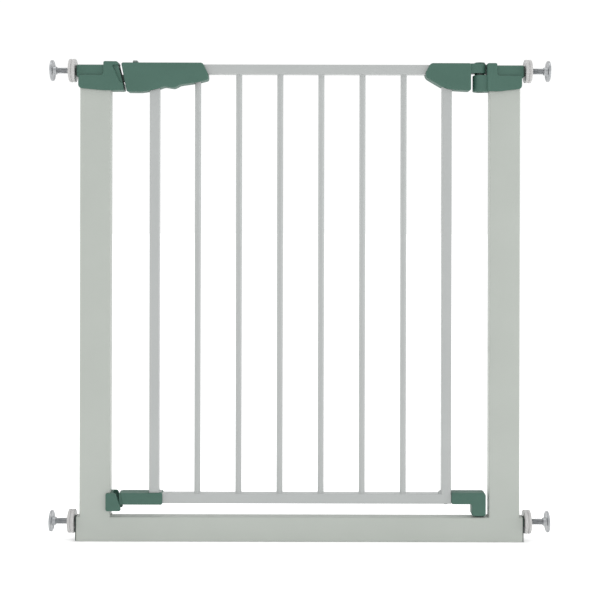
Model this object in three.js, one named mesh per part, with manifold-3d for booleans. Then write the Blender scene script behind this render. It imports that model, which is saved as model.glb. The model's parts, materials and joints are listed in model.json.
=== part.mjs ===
// Safety baby gate: a pressure-fit steel frame with a lift-and-swing barred door.
// Millimetres, +Z up. Origin: the middle of the bottom rail's underside. +X points to the hinge side.
import * as THREE from 'three';
import { mergeVertices } from 'three/addons/utils/BufferGeometryUtils.js';
import Module from 'manifold-3d';

const wasm = await Module();
wasm.setup();

// ---------- driving dimensions ----------
const GAP = 0.3; // clearance between pieces that touch
const PAST = 5; // how far a cutting shape runs past the face it opens
const ROOM_Z = { tubeLow: 30, tubeHigh: 100, shellLow: 600, shellHigh: 900 }; // levels clear of every piece

// Fixed frame: a bottom rail with a post standing on each end
const RAIL_HALF = 363;
const RAIL_TOP = 40;
const FRAME_HALF_DEPTH = 10;
const TUBE_WALL = 1.5;
const TUBE_CORNER = 2;
const POST_INNER_X = 308;
const POST_OUTER_X = 358;
const POST_TOP = 752;

// Door: square tubes and round bars
const DOOR_TUBE_HALF = 8;
const DOOR_WALL = 1.2;
const STILE_X = { left: -237, right: 239 };
const TOP_RAIL_Z = 768.3;
const BOTTOM_RAIL_Z = 69.5;
const BAR_COUNT = 6;
const BAR_PITCH = 67.14;
const BAR_MIDDLE_X = 1;
const BAR_RADIUS = 5;
const BAR_WALL = 1;

// Hinge line
const PIVOT_X = 293;
const PIN_RADIUS = 4;
const BUSH_RADIUS = 6.2;
const PIN_COLLAR_RADIUS = 6;
const ARM_BOTTOM = 762.6;
const ARM_TOP = 778.6;
const ARM_HALF_DEPTH = 10;

// Plastic housings
const HOUSING_HALF_DEPTH = 14.5;
const HOUSING_TOP = 778.6;
const BARREL_HALF_DEPTH = 11;
const BARREL_HALF_HEIGHT = 8.5;
const BARREL_INNER_X = 317;
const BARREL_Z = 767;
const SHELL_HALF_DEPTH = 13;
const FOOT_HALF_DEPTH = 11;
const EDGE_ROUND = 1.4;

// Adjusters: a threaded spindle, its hand wheel and its wall pad
const SPINDLE_Z = { upper: 766.5, lower: 31 };
const SPINDLE_RADIUS = 5;
const SPINDLE_INNER_X = 329.5;
const SPINDLE_OUTER_X = 404.2;
const SPINDLE_BORE_END_X = 307.5;
const GUIDE_RADIUS = 7.5;
const GUIDE_DEPTH = 18;
const WHEEL_RADIUS = 19;
const WHEEL_INNER_X = 366.5;
const WHEEL_OUTER_X = 376.5;
const PAD_RADIUS = 17;
const PAD_FACE_X = 406.5;

// Latch: a sprung bolt moved by a thumb button
const BOLT = { tip: -299, tail: -264, bottom: 748, top: 759.5, halfDepth: 4.5 };
const BUTTON = { left: -272.5, right: -265.5, halfDepth: 5, capBottom: 779.4, top: 783 };
const LATCH_TRAVEL = 10;
const SPRING_END_X = -248;
const SPRING_RADIUS = 3.4;
const SPRING_WIRE = 0.45;
const SPRING_TURNS = 5;

// ---------- finishes ----------
const FRAME_PAINT = { color: 0xc6ccc6, roughness: 0.45, metalness: 0.1 };
const DOOR_PAINT = { color: 0xc2c6c5, roughness: 0.4, metalness: 0.1 };
const GREEN_PLASTIC = { color: 0x50766a, roughness: 0.5, metalness: 0 };
const PALE_PLASTIC = { color: 0xcfd0cd, roughness: 0.45, metalness: 0 };
const BLACK_NYLON = { color: 0x1a1f1d, roughness: 0.5, metalness: 0 };
const ZINC = { color: 0xaab0b4, roughness: 0.35, metalness: 0.9 };
const SPRING_STEEL = { color: 0x9a9c9e, roughness: 0.3, metalness: 1 };

// ---------- joining and cutting ----------
function solidFrom(geometry) {
  const bare = geometry.clone();
  bare.deleteAttribute('normal');
  bare.deleteAttribute('uv');
  const merged = mergeVertices(bare, 1e-4);
  return new wasm.Manifold(new wasm.Mesh({
    numProp: 3,
    vertProperties: Float32Array.from(merged.attributes.position.array),
    triVerts: Uint32Array.from(merged.index.array),
  }));
}

function geometryOf(solid) {
  const mesh = solid.getMesh();
  const geometry = new THREE.BufferGeometry();
  geometry.setAttribute('position', new THREE.BufferAttribute(Float32Array.from(mesh.vertProperties), 3));
  geometry.setIndex(new THREE.BufferAttribute(Uint32Array.from(mesh.triVerts), 1));
  geometry.computeVertexNormals();
  return geometry;
}

const join = (...solids) => solids.reduce((sum, next) => sum.add(next));
const cut = (solid, ...tools) => tools.reduce((rest, tool) => rest.subtract(tool), solid);

// ---------- basic forms ----------
function block(x0, x1, y0, y1, z0, z1) {
  const geometry = new THREE.BoxGeometry(x1 - x0, y1 - y0, z1 - z0);
  geometry.translate((x0 + x1) / 2, (y0 + y1) / 2, (z0 + z1) / 2);
  return solidFrom(geometry);
}

// Axes that carry a flat outline and its thickness into the gate's frame
const FACING = {
  x: new THREE.Matrix4().makeBasis(
    new THREE.Vector3(0, 1, 0), new THREE.Vector3(0, 0, 1), new THREE.Vector3(1, 0, 0)),
  y: new THREE.Matrix4().makeBasis(
    new THREE.Vector3(-1, 0, 0), new THREE.Vector3(0, 0, 1), new THREE.Vector3(0, 1, 0)),
  z: new THREE.Matrix4(),
};

// A plate or bar of the given outline from `low` to `high` along one axis, its end edges rounded by `round`.
// Outlines are drawn in (Y, Z) for x, in (-X, Z) for y and in (X, Y) for z.
function plate(axis, shape, low, high, round = 0) {
  const geometry = new THREE.ExtrudeGeometry(shape, {
    depth: high - low - 2 * round,
    bevelEnabled: round > 0,
    bevelSize: round,
    bevelThickness: round,
    bevelOffset: -round,
    bevelSegments: 2,
    curveSegments: 3,
  });
  geometry.translate(0, 0, low + round);
  geometry.applyMatrix4(FACING[axis]);
  return solidFrom(geometry);
}

// A turned piece: the profile is [radius, position] pairs that run up the axis.
function turned(axis, profile, centre, sides) {
  const points = profile.map(([radius, along]) => new THREE.Vector2(radius, along));
  const geometry = new THREE.LatheGeometry(points, sides);
  if (axis === 'x') geometry.rotateZ(-Math.PI / 2);
  if (axis === 'z') geometry.rotateX(Math.PI / 2);
  geometry.translate(...centre);
  return solidFrom(geometry);
}

function cylinder(axis, radius, low, high, centre, sides = 20) {
  return turned(axis, [[0, low], [radius, low], [radius, high], [0, high]], centre, sides);
}

// A closed outline from corners [across, up, trim]; trim is how far the rounding reaches along each edge.
function outline(corners, path = new THREE.Shape()) {
  const at = corners.map(([u, v]) => new THREE.Vector2(u, v));
  corners.forEach(([u, v, trim = 0], i) => {
    const before = at[(i + at.length - 1) % at.length];
    const after = at[(i + 1) % at.length];
    const start = at[i].clone().lerp(before, trim / at[i].distanceTo(before));
    const end = at[i].clone().lerp(after, trim / at[i].distanceTo(after));
    if (i === 0) path.moveTo(start.x, start.y);
    else path.lineTo(start.x, start.y);
    if (trim > 0) path.quadraticCurveTo(u, v, end.x, end.y);
  });
  path.closePath();
  return path;
}

function rectangle(halfWide, halfHigh, trim, path) {
  return outline([
    [-halfWide, -halfHigh, trim],
    [halfWide, -halfHigh, trim],
    [halfWide, halfHigh, trim],
    [-halfWide, halfHigh, trim],
  ], path);
}

function tubeSection(halfWide, halfHigh, corner, wall) {
  const section = rectangle(halfWide, halfHigh, corner);
  section.holes.push(rectangle(halfWide - wall, halfHigh - wall, corner / 2, new THREE.Path()));
  return section;
}

// The same outline seen in X and Z: `plate('y', ...)` wants X negated and the order reversed.
const facingFront = (corners) => corners.map(([x, z, trim]) => [-x, z, trim]).reverse();

// ---------- assembly ----------
const gate = new THREE.Group();
const frame = new THREE.Group();
const door = new THREE.Group();
gate.add(frame, door);

function addPiece(group, name, solid, finish, place = {}) {
  const mesh = new THREE.Mesh(geometryOf(solid), new THREE.MeshStandardMaterial(finish));
  mesh.name = name;
  mesh.position.set(place.x ?? 0, place.y ?? 0, place.z ?? 0);
  mesh.rotation.z = place.turn ?? 0;
  group.add(mesh);
}

// ---------- screws ----------
// A pan-head screw along Y whose head sits at the back, and the hole that clears it.
const SCREW_HEAD = { radius: 3.5, height: 2 };
const SCREW_SHANK_RADIUS = 1.6;
const SCREW_SIDES = 12;

function screwBody(length, clearance) {
  const shank = SCREW_SHANK_RADIUS + clearance;
  const head = SCREW_HEAD.radius + clearance;
  const neck = -SCREW_HEAD.height - clearance;
  const top = clearance > 0 ? PAST : 0;
  return new THREE.LatheGeometry([
    new THREE.Vector2(0, -length - clearance),
    new THREE.Vector2(shank, -length - clearance),
    new THREE.Vector2(shank, neck),
    new THREE.Vector2(head, neck),
    new THREE.Vector2(head, top),
    new THREE.Vector2(0, top),
  ], SCREW_SIDES);
}

const backScrew = (x, y, z, length, clearance = 0) => solidFrom(
  screwBody(length, clearance).translate(x, y, z));
const riseScrew = (x, z, length, clearance = 0) => solidFrom(
  screwBody(length, clearance).rotateX(-Math.PI / 2).translate(x, 0, z));
const sideScrew = (x, z, length, clearance = 0) => solidFrom(
  screwBody(length, clearance).rotateZ(-Math.PI / 2).translate(x, 0, z));

// ---------- fixed frame ----------
function bottomRail() {
  const section = tubeSection(FRAME_HALF_DEPTH, RAIL_TOP / 2, TUBE_CORNER, TUBE_WALL);
  const tube = plate('x', section, -RAIL_HALF, RAIL_HALF);
  const bushHole = cylinder(
    'z', BUSH_RADIUS + GAP, RAIL_TOP - PAST, RAIL_TOP + PAST, [PIVOT_X, 0, -RAIL_TOP / 2]);
  return cut(tube, bushHole);
}

function post() {
  const halfWide = (POST_OUTER_X - POST_INNER_X) / 2;
  const section = tubeSection(halfWide, FRAME_HALF_DEPTH, TUBE_CORNER, TUBE_WALL);
  return plate('z', section, RAIL_TOP + GAP, POST_TOP);
}

const postMiddle = (POST_INNER_X + POST_OUTER_X) / 2;
const CATCH_SCREW = { x: -302.4, z: 64.5, length: 9 };
const catchScrewHole = sideScrew(CATCH_SCREW.x + postMiddle, CATCH_SCREW.z, CATCH_SCREW.length, GAP);
addPiece(frame, 'bottom_rail', bottomRail(), FRAME_PAINT, { z: RAIL_TOP / 2 });
addPiece(frame, 'left_post', cut(post(), catchScrewHole), FRAME_PAINT, { x: -postMiddle });
addPiece(frame, 'right_post', post(), FRAME_PAINT, { x: postMiddle });

// The barrel that carries an upper spindle, and the hollows both housings share, on the +X side
function spindleBarrel() {
  const section = rectangle(BARREL_HALF_DEPTH, BARREL_HALF_HEIGHT, 4);
  return plate('x', section, BARREL_INNER_X, RAIL_HALF).translate([0, 0, BARREL_Z]);
}

function housingHollows() {
  const postRoom = block(
    POST_INNER_X - GAP, POST_OUTER_X + GAP,
    -FRAME_HALF_DEPTH - GAP, FRAME_HALF_DEPTH + GAP,
    ROOM_Z.shellLow, POST_TOP + GAP);
  const bore = cylinder(
    'x', SPINDLE_RADIUS + 2 * GAP, SPINDLE_BORE_END_X, RAIL_HALF + PAST, [0, 0, SPINDLE_Z.upper]);
  const guideRoom = cylinder(
    'x', GUIDE_RADIUS + GAP, RAIL_HALF - GUIDE_DEPTH - GAP, RAIL_HALF + PAST, [0, 0, SPINDLE_Z.upper]);
  return [postRoom, bore, guideRoom];
}

const mirrored = (solid) => solid.mirror([1, 0, 0]);

// Keeper on the latch post: a sleeve over the post, a spindle barrel, and a mouth that takes the bolt
const KEEPER_SCREW = { x: -333, z: 745 };
const POCKET_HALF_DEPTH = BOLT.halfDepth + 0.8;
const POCKET = block(-302, -280, -POCKET_HALF_DEPTH, POCKET_HALF_DEPTH, 746, 772);

function keeperHousing() {
  const sleeve = plate('y', outline(facingFront([
    [-360, 737, 5], [-360, 758.3, 2.5], [-319.3, 758.3], [-319.3, 780.6, 2.5],
    [-296.6, 780.2, 2.5], [-292.5, 759], [-287.8, 747], [-286, 733, 3], [-320, 733.2, 4],
  ])), -HOUSING_HALF_DEPTH, HOUSING_HALF_DEPTH, EDGE_ROUND);
  const mouth = plate('y', outline(facingFront([
    [-306, 774.5], [-270, 774.5], [-270, 746], [-291.5, 746],
  ])), -HOUSING_HALF_DEPTH - PAST, HOUSING_HALF_DEPTH + PAST);
  const hollows = housingHollows().map(mirrored);
  const screw = backScrew(KEEPER_SCREW.x, HOUSING_HALF_DEPTH, KEEPER_SCREW.z, 6, GAP);
  return cut(join(sleeve, mirrored(spindleBarrel())), mouth, POCKET, screw, ...hollows);
}

function strikeInsert() {
  const filler = plate('y', outline(facingFront([
    [-305.3, 774.2], [-296.6, 774.2], [-293.6, 759.5], [-289.6, 748.5], [-289.6, 746.3], [-291.1, 746.3],
  ])), -9, 9);
  return cut(filler, POCKET);
}

addPiece(frame, 'keeper_housing', keeperHousing(), GREEN_PLASTIC);
addPiece(frame, 'strike_insert', strikeInsert(), BLACK_NYLON);
addPiece(frame, 'keeper_screw',
  backScrew(KEEPER_SCREW.x, HOUSING_HALF_DEPTH, KEEPER_SCREW.z, 3.8), ZINC);

// Hinge block on the hinge post: a sleeve over the post, a spindle barrel, and a round neck for the pin
const BLOCK_INNER_X = PIVOT_X + ARM_HALF_DEPTH + 2 * GAP;
const NECK_RADIUS = 11.5;
const NECK_REACH = 16;
const NECK_BOTTOM = 732.5;
const NECK_TOP = 759.3;
const UPPER_BUSH_BOTTOM = 735;
const BLOCK_SCREW = { x: 333, z: 745 };

function roundEnd(halfDepth, reach) {
  const end = new THREE.Shape();
  end.moveTo(reach, halfDepth);
  end.lineTo(0, halfDepth);
  end.absarc(0, 0, halfDepth, Math.PI / 2, -Math.PI / 2, reach < 0);
  end.lineTo(reach, -halfDepth);
  end.closePath();
  return end;
}

function hingeBlock() {
  const sleeve = plate('y', outline(facingFront([
    [BLOCK_INNER_X, 733, 2.5], [BLOCK_INNER_X, HOUSING_TOP, 2.5], [319.8, HOUSING_TOP, 2.5],
    [319.8, 758.3], [360, 758.3, 2.5],
    [360, 737, 4], [322, 732.6, 4],
  ])), -HOUSING_HALF_DEPTH, HOUSING_HALF_DEPTH, EDGE_ROUND);
  const neck = plate('z', roundEnd(NECK_RADIUS, NECK_REACH), NECK_BOTTOM, NECK_TOP, 1)
    .translate([PIVOT_X, 0, 0]);
  const bushRoom = cylinder(
    'z', BUSH_RADIUS + GAP, UPPER_BUSH_BOTTOM - GAP, NECK_TOP + PAST, [PIVOT_X, 0, 0]);
  const screw = backScrew(BLOCK_SCREW.x, HOUSING_HALF_DEPTH, BLOCK_SCREW.z, 6, GAP);
  return cut(join(sleeve, neck, spindleBarrel()), bushRoom, screw, ...housingHollows());
}

addPiece(frame, 'hinge_block', hingeBlock(), GREEN_PLASTIC);
addPiece(frame, 'hinge_block_screw',
  backScrew(BLOCK_SCREW.x, HOUSING_HALF_DEPTH, BLOCK_SCREW.z, 3.8), ZINC);

// Lower catch: two wings around the inner edge of the latch post; the door's nose drops between them
const CATCH = { bottom: 50, top: 79, back: -314.7, web: -304.7, clear: -270, halfDepth: 14 };

function lowerCatch() {
  const wings = plate('y', outline(facingFront([
    [CATCH.back, CATCH.bottom, 2.5], [CATCH.back, CATCH.top, 2.5],
    [-297, CATCH.top, 3], [-288, CATCH.bottom, 5],
  ])), -CATCH.halfDepth, CATCH.halfDepth, EDGE_ROUND);
  const wingGap = FRAME_HALF_DEPTH + GAP;
  const postRoom = block(
    -POST_OUTER_X, -POST_INNER_X + GAP, -wingGap, wingGap, ROOM_Z.tubeLow, ROOM_Z.tubeHigh);
  const noseRoom = block(CATCH.web, CATCH.clear, -wingGap, wingGap, ROOM_Z.tubeLow, ROOM_Z.tubeHigh);
  const screw = sideScrew(CATCH_SCREW.x, CATCH_SCREW.z, CATCH_SCREW.length, GAP);
  return cut(wings, postRoom, noseRoom, screw);
}

addPiece(frame, 'lower_catch', lowerCatch(), GREEN_PLASTIC);
addPiece(frame, 'lower_catch_screw', sideScrew(CATCH_SCREW.x, CATCH_SCREW.z, CATCH_SCREW.length), ZINC);

// ---------- hinge bushes, which turn with the door ----------
// A flanged sleeve bored for the pin, running down from its flange
function bush(flangeTop, flangeThick, bottom) {
  const bore = PIN_RADIUS + GAP;
  return turned('z', [
    [bore, bottom], [BUSH_RADIUS, bottom], [BUSH_RADIUS, flangeTop - flangeThick],
    [BUSH_RADIUS + 2, flangeTop - flangeThick], [BUSH_RADIUS + 2, flangeTop],
    [bore, flangeTop], [bore, bottom],
  ], [0, 0, 0], 24);
}

const upperFlange = ARM_BOTTOM - NECK_TOP - 2 * GAP;
const LOWER_BUSH = { flange: 1.7, bottom: 16 };
addPiece(frame, 'upper_hinge_bush', bush(ARM_BOTTOM - GAP, upperFlange, UPPER_BUSH_BOTTOM),
  BLACK_NYLON, { x: PIVOT_X });
addPiece(frame, 'lower_hinge_bush',
  bush(RAIL_TOP + GAP + LOWER_BUSH.flange, LOWER_BUSH.flange, LOWER_BUSH.bottom),
  BLACK_NYLON, { x: PIVOT_X });

// ---------- door tubes and bars ----------
const doorSection = () => tubeSection(DOOR_TUBE_HALF, DOOR_TUBE_HALF, 1.5, DOOR_WALL);
const doorLeft = STILE_X.left - DOOR_TUBE_HALF;
const doorRight = STILE_X.right + DOOR_TUBE_HALF;
const bottomRailTop = BOTTOM_RAIL_Z + DOOR_TUBE_HALF;

// The screw that holds the hinge foot in the bottom rail's end enters from below.
const FOOT_SCREW = { x: STILE_X.right, z: -DOOR_TUBE_HALF - 2.3, length: 9 };
const footScrewHole = riseScrew(FOOT_SCREW.x, FOOT_SCREW.z, FOOT_SCREW.length, GAP);
addPiece(door, 'door_bottom_rail', cut(plate('x', doorSection(), doorLeft, doorRight), footScrewHole),
  DOOR_PAINT, { z: BOTTOM_RAIL_Z });
addPiece(door, 'hinge_foot_screw', riseScrew(FOOT_SCREW.x, FOOT_SCREW.z, FOOT_SCREW.length),
  ZINC, { z: BOTTOM_RAIL_Z });
addPiece(door, 'door_top_rail', plate('x', doorSection(),
  STILE_X.left + DOOR_TUBE_HALF + GAP, STILE_X.right - DOOR_TUBE_HALF - GAP), DOOR_PAINT, { z: TOP_RAIL_Z });
for (const side of ['left', 'right']) {
  const stile = plate('z', doorSection(), bottomRailTop + GAP, TOP_RAIL_Z + DOOR_TUBE_HALF);
  addPiece(door, `door_${side}_stile`, stile, DOOR_PAINT, { x: STILE_X[side] });
}

function doorBar() {
  const low = bottomRailTop + GAP;
  const high = TOP_RAIL_Z - DOOR_TUBE_HALF - GAP;
  const inner = BAR_RADIUS - BAR_WALL;
  return turned('z', [
    [inner, low], [BAR_RADIUS, low], [BAR_RADIUS, high], [inner, high], [inner, low],
  ], [0, 0, 0], 16);
}

const barX = (i) => BAR_MIDDLE_X + (i - (BAR_COUNT - 1) / 2) * BAR_PITCH;

for (let i = 0; i < BAR_COUNT; i += 1) {
  addPiece(door, `bar_${i + 1}`, doorBar(), DOOR_PAINT, { x: barX(i) });
}

// Room for the door's top rail and one stile inside a two-part shell
function cornerRoom(railFrom, railTo, stileX) {
  const half = DOOR_TUBE_HALF + GAP;
  return [
    block(railFrom, railTo, -half, half, TOP_RAIL_Z - half, TOP_RAIL_Z + half),
    block(stileX - half, stileX + half, -half, half, ROOM_Z.shellLow, TOP_RAIL_Z + half),
  ];
}

const BACK = block(
  -RAIL_HALF, RAIL_HALF, GAP / 2, 2 * SHELL_HALF_DEPTH, ROOM_Z.shellLow, ROOM_Z.shellHigh);
const FRONT = BACK.mirror([0, 1, 0]);
const SHELL_SCREW = { length: 20.5, hole: 21 };

function addShells(name, whole, screws) {
  const holes = screws.map(([x, z]) => backScrew(x, SHELL_HALF_DEPTH, z, SHELL_SCREW.hole, GAP));
  const bored = cut(whole, ...holes);
  addPiece(door, `${name}_front_shell`, bored.intersect(FRONT), GREEN_PLASTIC);
  addPiece(door, `${name}_back_shell`, bored.intersect(BACK), GREEN_PLASTIC);
  screws.forEach(([x, z], i) => {
    addPiece(door, `${name}_screw_${i + 1}`, backScrew(x, SHELL_HALF_DEPTH, z, SHELL_SCREW.length), ZINC);
  });
}

// ---------- latch handle on the door's free corner ----------
function handleOutline() {
  const shape = new THREE.Shape();
  const fingerGrip = [
    [248.5, 733], [232, 736.2], [221.5, 739.4], [207.3, 737.6], [200.7, 740],
    [194.9, 742.6], [177, 745.2], [163.7, 747.5], [156.2, 749.3],
  ].map(([u, v]) => new THREE.Vector2(u, v));
  shape.moveTo(157, 775.2);
  shape.quadraticCurveTo(158.5, HOUSING_TOP, 162, HOUSING_TOP);
  shape.lineTo(288, HOUSING_TOP);
  shape.quadraticCurveTo(292, HOUSING_TOP, 291.2, 774.6);
  shape.lineTo(283.7, 735.5);
  shape.quadraticCurveTo(282.8, 731, 278.7, 731);
  shape.lineTo(262, 731);
  shape.splineThru(fingerGrip);
  shape.quadraticCurveTo(150.5, 750.6, 149.4, 755.4);
  shape.quadraticCurveTo(148.8, 757.6, 149.6, 760);
  shape.closePath();
  return shape;
}

function handleBody() {
  const whole = plate('y', handleOutline(), -SHELL_HALF_DEPTH, SHELL_HALF_DEPTH, EDGE_ROUND);
  const slideRoom = block(
    -RAIL_HALF, SPRING_END_X + GAP,
    -BOLT.halfDepth - GAP, BOLT.halfDepth + GAP, BOLT.bottom - GAP, BOLT.top + GAP);
  const buttonSlot = block(
    BUTTON.left - GAP, BUTTON.right + LATCH_TRAVEL + GAP,
    -BUTTON.halfDepth - GAP, BUTTON.halfDepth + GAP, BOLT.bottom, ROOM_Z.shellHigh);
  const barRoom = cylinder('z', BAR_RADIUS + GAP, ROOM_Z.shellLow, TOP_RAIL_Z, [barX(0), 0, 0]);
  return cut(whole, slideRoom, buttonSlot, barRoom, ...cornerRoom(STILE_X.left, barX(1), STILE_X.left));
}

addShells('handle', handleBody(), [[-268, 741], [-180, 754.5]]);

// ---------- latch slider: bolt, thumb button and spring ----------
const PEG_X = (BUTTON.left + BUTTON.right) / 2;
const PEG = { radius: 2, depth: 5.7 };

function latchBolt() {
  const side = outline(facingFront([
    [BOLT.tip, BOLT.bottom, 1.5], [BOLT.tail, BOLT.bottom], [BOLT.tail, BOLT.top], [BOLT.tip, BOLT.top, 4],
  ]));
  const bar = plate('y', side, -BOLT.halfDepth, BOLT.halfDepth);
  const pegHole = cylinder(
    'z', PEG.radius + GAP, BOLT.top - PEG.depth - GAP, BOLT.top + PAST, [PEG_X, 0, 0], 16);
  return cut(bar, pegHole);
}

function thumbButton() {
  const cap = plate('z', rectangle(4, 6.5, 1.5), BUTTON.capBottom, BUTTON.top, 1).translate([PEG_X, 0, 0]);
  const stem = block(
    BUTTON.left, BUTTON.right, -BUTTON.halfDepth, BUTTON.halfDepth, BOLT.top + GAP, BUTTON.capBottom + 1.3);
  const peg = cylinder('z', PEG.radius, BOLT.top - PEG.depth, BOLT.top + 2, [PEG_X, 0, 0], 16);
  return join(cap, stem, peg);
}

class Helix extends THREE.Curve {
  constructor(radius, length, turns) {
    super();
    Object.assign(this, { radius, length, turns });
  }

  getPoint(t, target = new THREE.Vector3()) {
    const angle = t * this.turns * 2 * Math.PI;
    return target.set(t * this.length, this.radius * Math.cos(angle), this.radius * Math.sin(angle));
  }
}

function latchSpring() {
  const from = BOLT.tail + 1;
  const to = SPRING_END_X - 0.8;
  const wire = new THREE.Shape().absarc(0, 0, SPRING_WIRE, 0, 2 * Math.PI, false);
  const geometry = new THREE.ExtrudeGeometry(wire, {
    extrudePath: new Helix(SPRING_RADIUS, to - from, SPRING_TURNS),
    steps: SPRING_TURNS * 10,
    curveSegments: 3,
    bevelEnabled: false,
  });
  geometry.translate(from, 0, (BOLT.bottom + BOLT.top) / 2);
  return solidFrom(geometry);
}

addPiece(door, 'latch_bolt', latchBolt(), BLACK_NYLON);
addPiece(door, 'thumb_button', thumbButton(), BLACK_NYLON);
addPiece(door, 'latch_spring', latchSpring(), SPRING_STEEL);

// ---------- upper hinge: arm shells, pin and cap ----------
const PIN_COLLAR = { bottom: 768, top: 770 };
const UPPER_PIN = { bottom: 736, top: ARM_TOP - 0.1 };

function armBody() {
  const hook = plate('y', outline(facingFront([
    [202.5, 763, 2.5], [204, 757.5, 2.5], [233, 738, 6], [247, 735.1, 5], [277, 733.5, 3],
    [277, ARM_TOP], [211.5, ARM_TOP, 3],
  ])), -SHELL_HALF_DEPTH, SHELL_HALF_DEPTH, EDGE_ROUND);
  const arm = plate('z', roundEnd(ARM_HALF_DEPTH, -26), ARM_BOTTOM, ARM_TOP, 1).translate([PIVOT_X, 0, 0]);
  const pinRoom = cylinder('z', PIN_RADIUS + GAP, ARM_BOTTOM - PAST, ARM_TOP + PAST, [PIVOT_X, 0, 0]);
  const collarRoom = cylinder(
    'z', PIN_COLLAR_RADIUS + GAP, PIN_COLLAR.bottom - GAP, PIN_COLLAR.top + GAP, [PIVOT_X, 0, 0]);
  const rooms = cornerRoom(STILE_X.right - 70, STILE_X.right, STILE_X.right);
  return cut(join(hook, arm), pinRoom, collarRoom, ...rooms);
}

addShells('hinge_arm', armBody(), [[262, 745], [226, 752.5]]);

const upperPin = [
  [0, UPPER_PIN.bottom], [PIN_RADIUS - 1, UPPER_PIN.bottom], [PIN_RADIUS, UPPER_PIN.bottom + 1],
  [PIN_RADIUS, PIN_COLLAR.bottom], [PIN_COLLAR_RADIUS, PIN_COLLAR.bottom],
  [PIN_COLLAR_RADIUS, PIN_COLLAR.top], [PIN_RADIUS, PIN_COLLAR.top],
  [PIN_RADIUS, UPPER_PIN.top], [0, UPPER_PIN.top],
];
const pinCap = [[0, 0], [8.6, 0], [8.6, 0.6], [7, 1.5], [4, 2], [0, 2.2]];
addPiece(door, 'upper_hinge_pin', turned('z', upperPin, [0, 0, 0], 20), ZINC, { x: PIVOT_X });
addPiece(door, 'hinge_pin_cap', turned('z', pinCap, [0, 0, ARM_TOP + GAP], 24),
  GREEN_PLASTIC, { x: PIVOT_X });

// ---------- lower hinge foot and pin ----------
const FOOT = { left: doorRight + GAP, legLeft: 280.5, right: 303, bottom: 42.6, underside: 61.6, top: 80 };
const SPIGOT_HALF = DOOR_TUBE_HALF - DOOR_WALL - GAP;
const LOWER_PIN = { bottom: 18, top: 62 };

function hingeFoot() {
  const elbow = plate('y', outline(facingFront([
    [FOOT.left, FOOT.underside], [FOOT.legLeft, FOOT.underside], [FOOT.legLeft, FOOT.bottom],
    [FOOT.right, FOOT.bottom], [FOOT.right, FOOT.top, 3], [FOOT.left, FOOT.top],
  ])), -FOOT_HALF_DEPTH, FOOT_HALF_DEPTH, EDGE_ROUND);
  const spigot = block(
    STILE_X.right - 6, FOOT.left + 2, -SPIGOT_HALF, SPIGOT_HALF,
    BOTTOM_RAIL_Z - SPIGOT_HALF, BOTTOM_RAIL_Z + SPIGOT_HALF);
  const pinRoom = cylinder('z', PIN_RADIUS + GAP, FOOT.bottom - PAST, LOWER_PIN.top + GAP, [PIVOT_X, 0, 0]);
  const screw = riseScrew(FOOT_SCREW.x, FOOT_SCREW.z + BOTTOM_RAIL_Z, FOOT_SCREW.length, GAP);
  return cut(join(elbow, spigot), pinRoom, screw);
}

const lowerPin = [
  [0, LOWER_PIN.bottom], [PIN_RADIUS - 1, LOWER_PIN.bottom], [PIN_RADIUS, LOWER_PIN.bottom + 1],
  [PIN_RADIUS, LOWER_PIN.top], [0, LOWER_PIN.top],
];
addPiece(door, 'lower_hinge_foot', hingeFoot(), GREEN_PLASTIC);
addPiece(door, 'lower_hinge_pin', turned('z', lowerPin, [0, 0, 0], 20), ZINC, { x: PIVOT_X });

// ---------- lower latch bar on the door's free corner ----------
const BAR_NOSE = { left: -294, shoulder: -286, halfDepth: 9.3 };

function lowerLatchBar() {
  const arm = plate('y', outline(facingFront([
    [BAR_NOSE.left, 60, 2.5], [-223, 60, 2.5], [-223, 79, 3], [-291.5, 79, 3],
  ])), -FOOT_HALF_DEPTH, FOOT_HALF_DEPTH, EDGE_ROUND);
  const half = DOOR_TUBE_HALF + GAP;
  const cheek = block(
    -POST_INNER_X, BAR_NOSE.shoulder, BAR_NOSE.halfDepth, 2 * FOOT_HALF_DEPTH,
    ROOM_Z.tubeLow, ROOM_Z.tubeHigh);
  const railRoom = block(doorLeft - GAP, barX(0), -half, half, BOTTOM_RAIL_Z - half, bottomRailTop + GAP);
  const stileRoom = block(
    STILE_X.left - half, STILE_X.left + half, -half, half, BOTTOM_RAIL_Z, ROOM_Z.tubeHigh);
  return cut(arm, railRoom, stileRoom, cheek, cheek.mirror([0, 1, 0]));
}

addPiece(door, 'lower_latch_bar', lowerLatchBar(), GREEN_PLASTIC);

// ---------- adjusters ----------
// Everything is drawn on the +X side with its axis at z = 0, then turned half round for the -X side.
function upperGuide() {
  const bore = SPINDLE_RADIUS + 2 * GAP;
  return turned('x', [
    [bore, RAIL_HALF - GUIDE_DEPTH], [GUIDE_RADIUS, RAIL_HALF - GUIDE_DEPTH], [GUIDE_RADIUS, RAIL_HALF + GAP],
    [GUIDE_RADIUS + 1.5, RAIL_HALF + GAP], [GUIDE_RADIUS + 1.5, WHEEL_INNER_X - 2 * GAP],
    [bore, WHEEL_INNER_X - 2 * GAP], [bore, RAIL_HALF - GUIDE_DEPTH],
  ], [0, 0, 0], 24);
}

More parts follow.
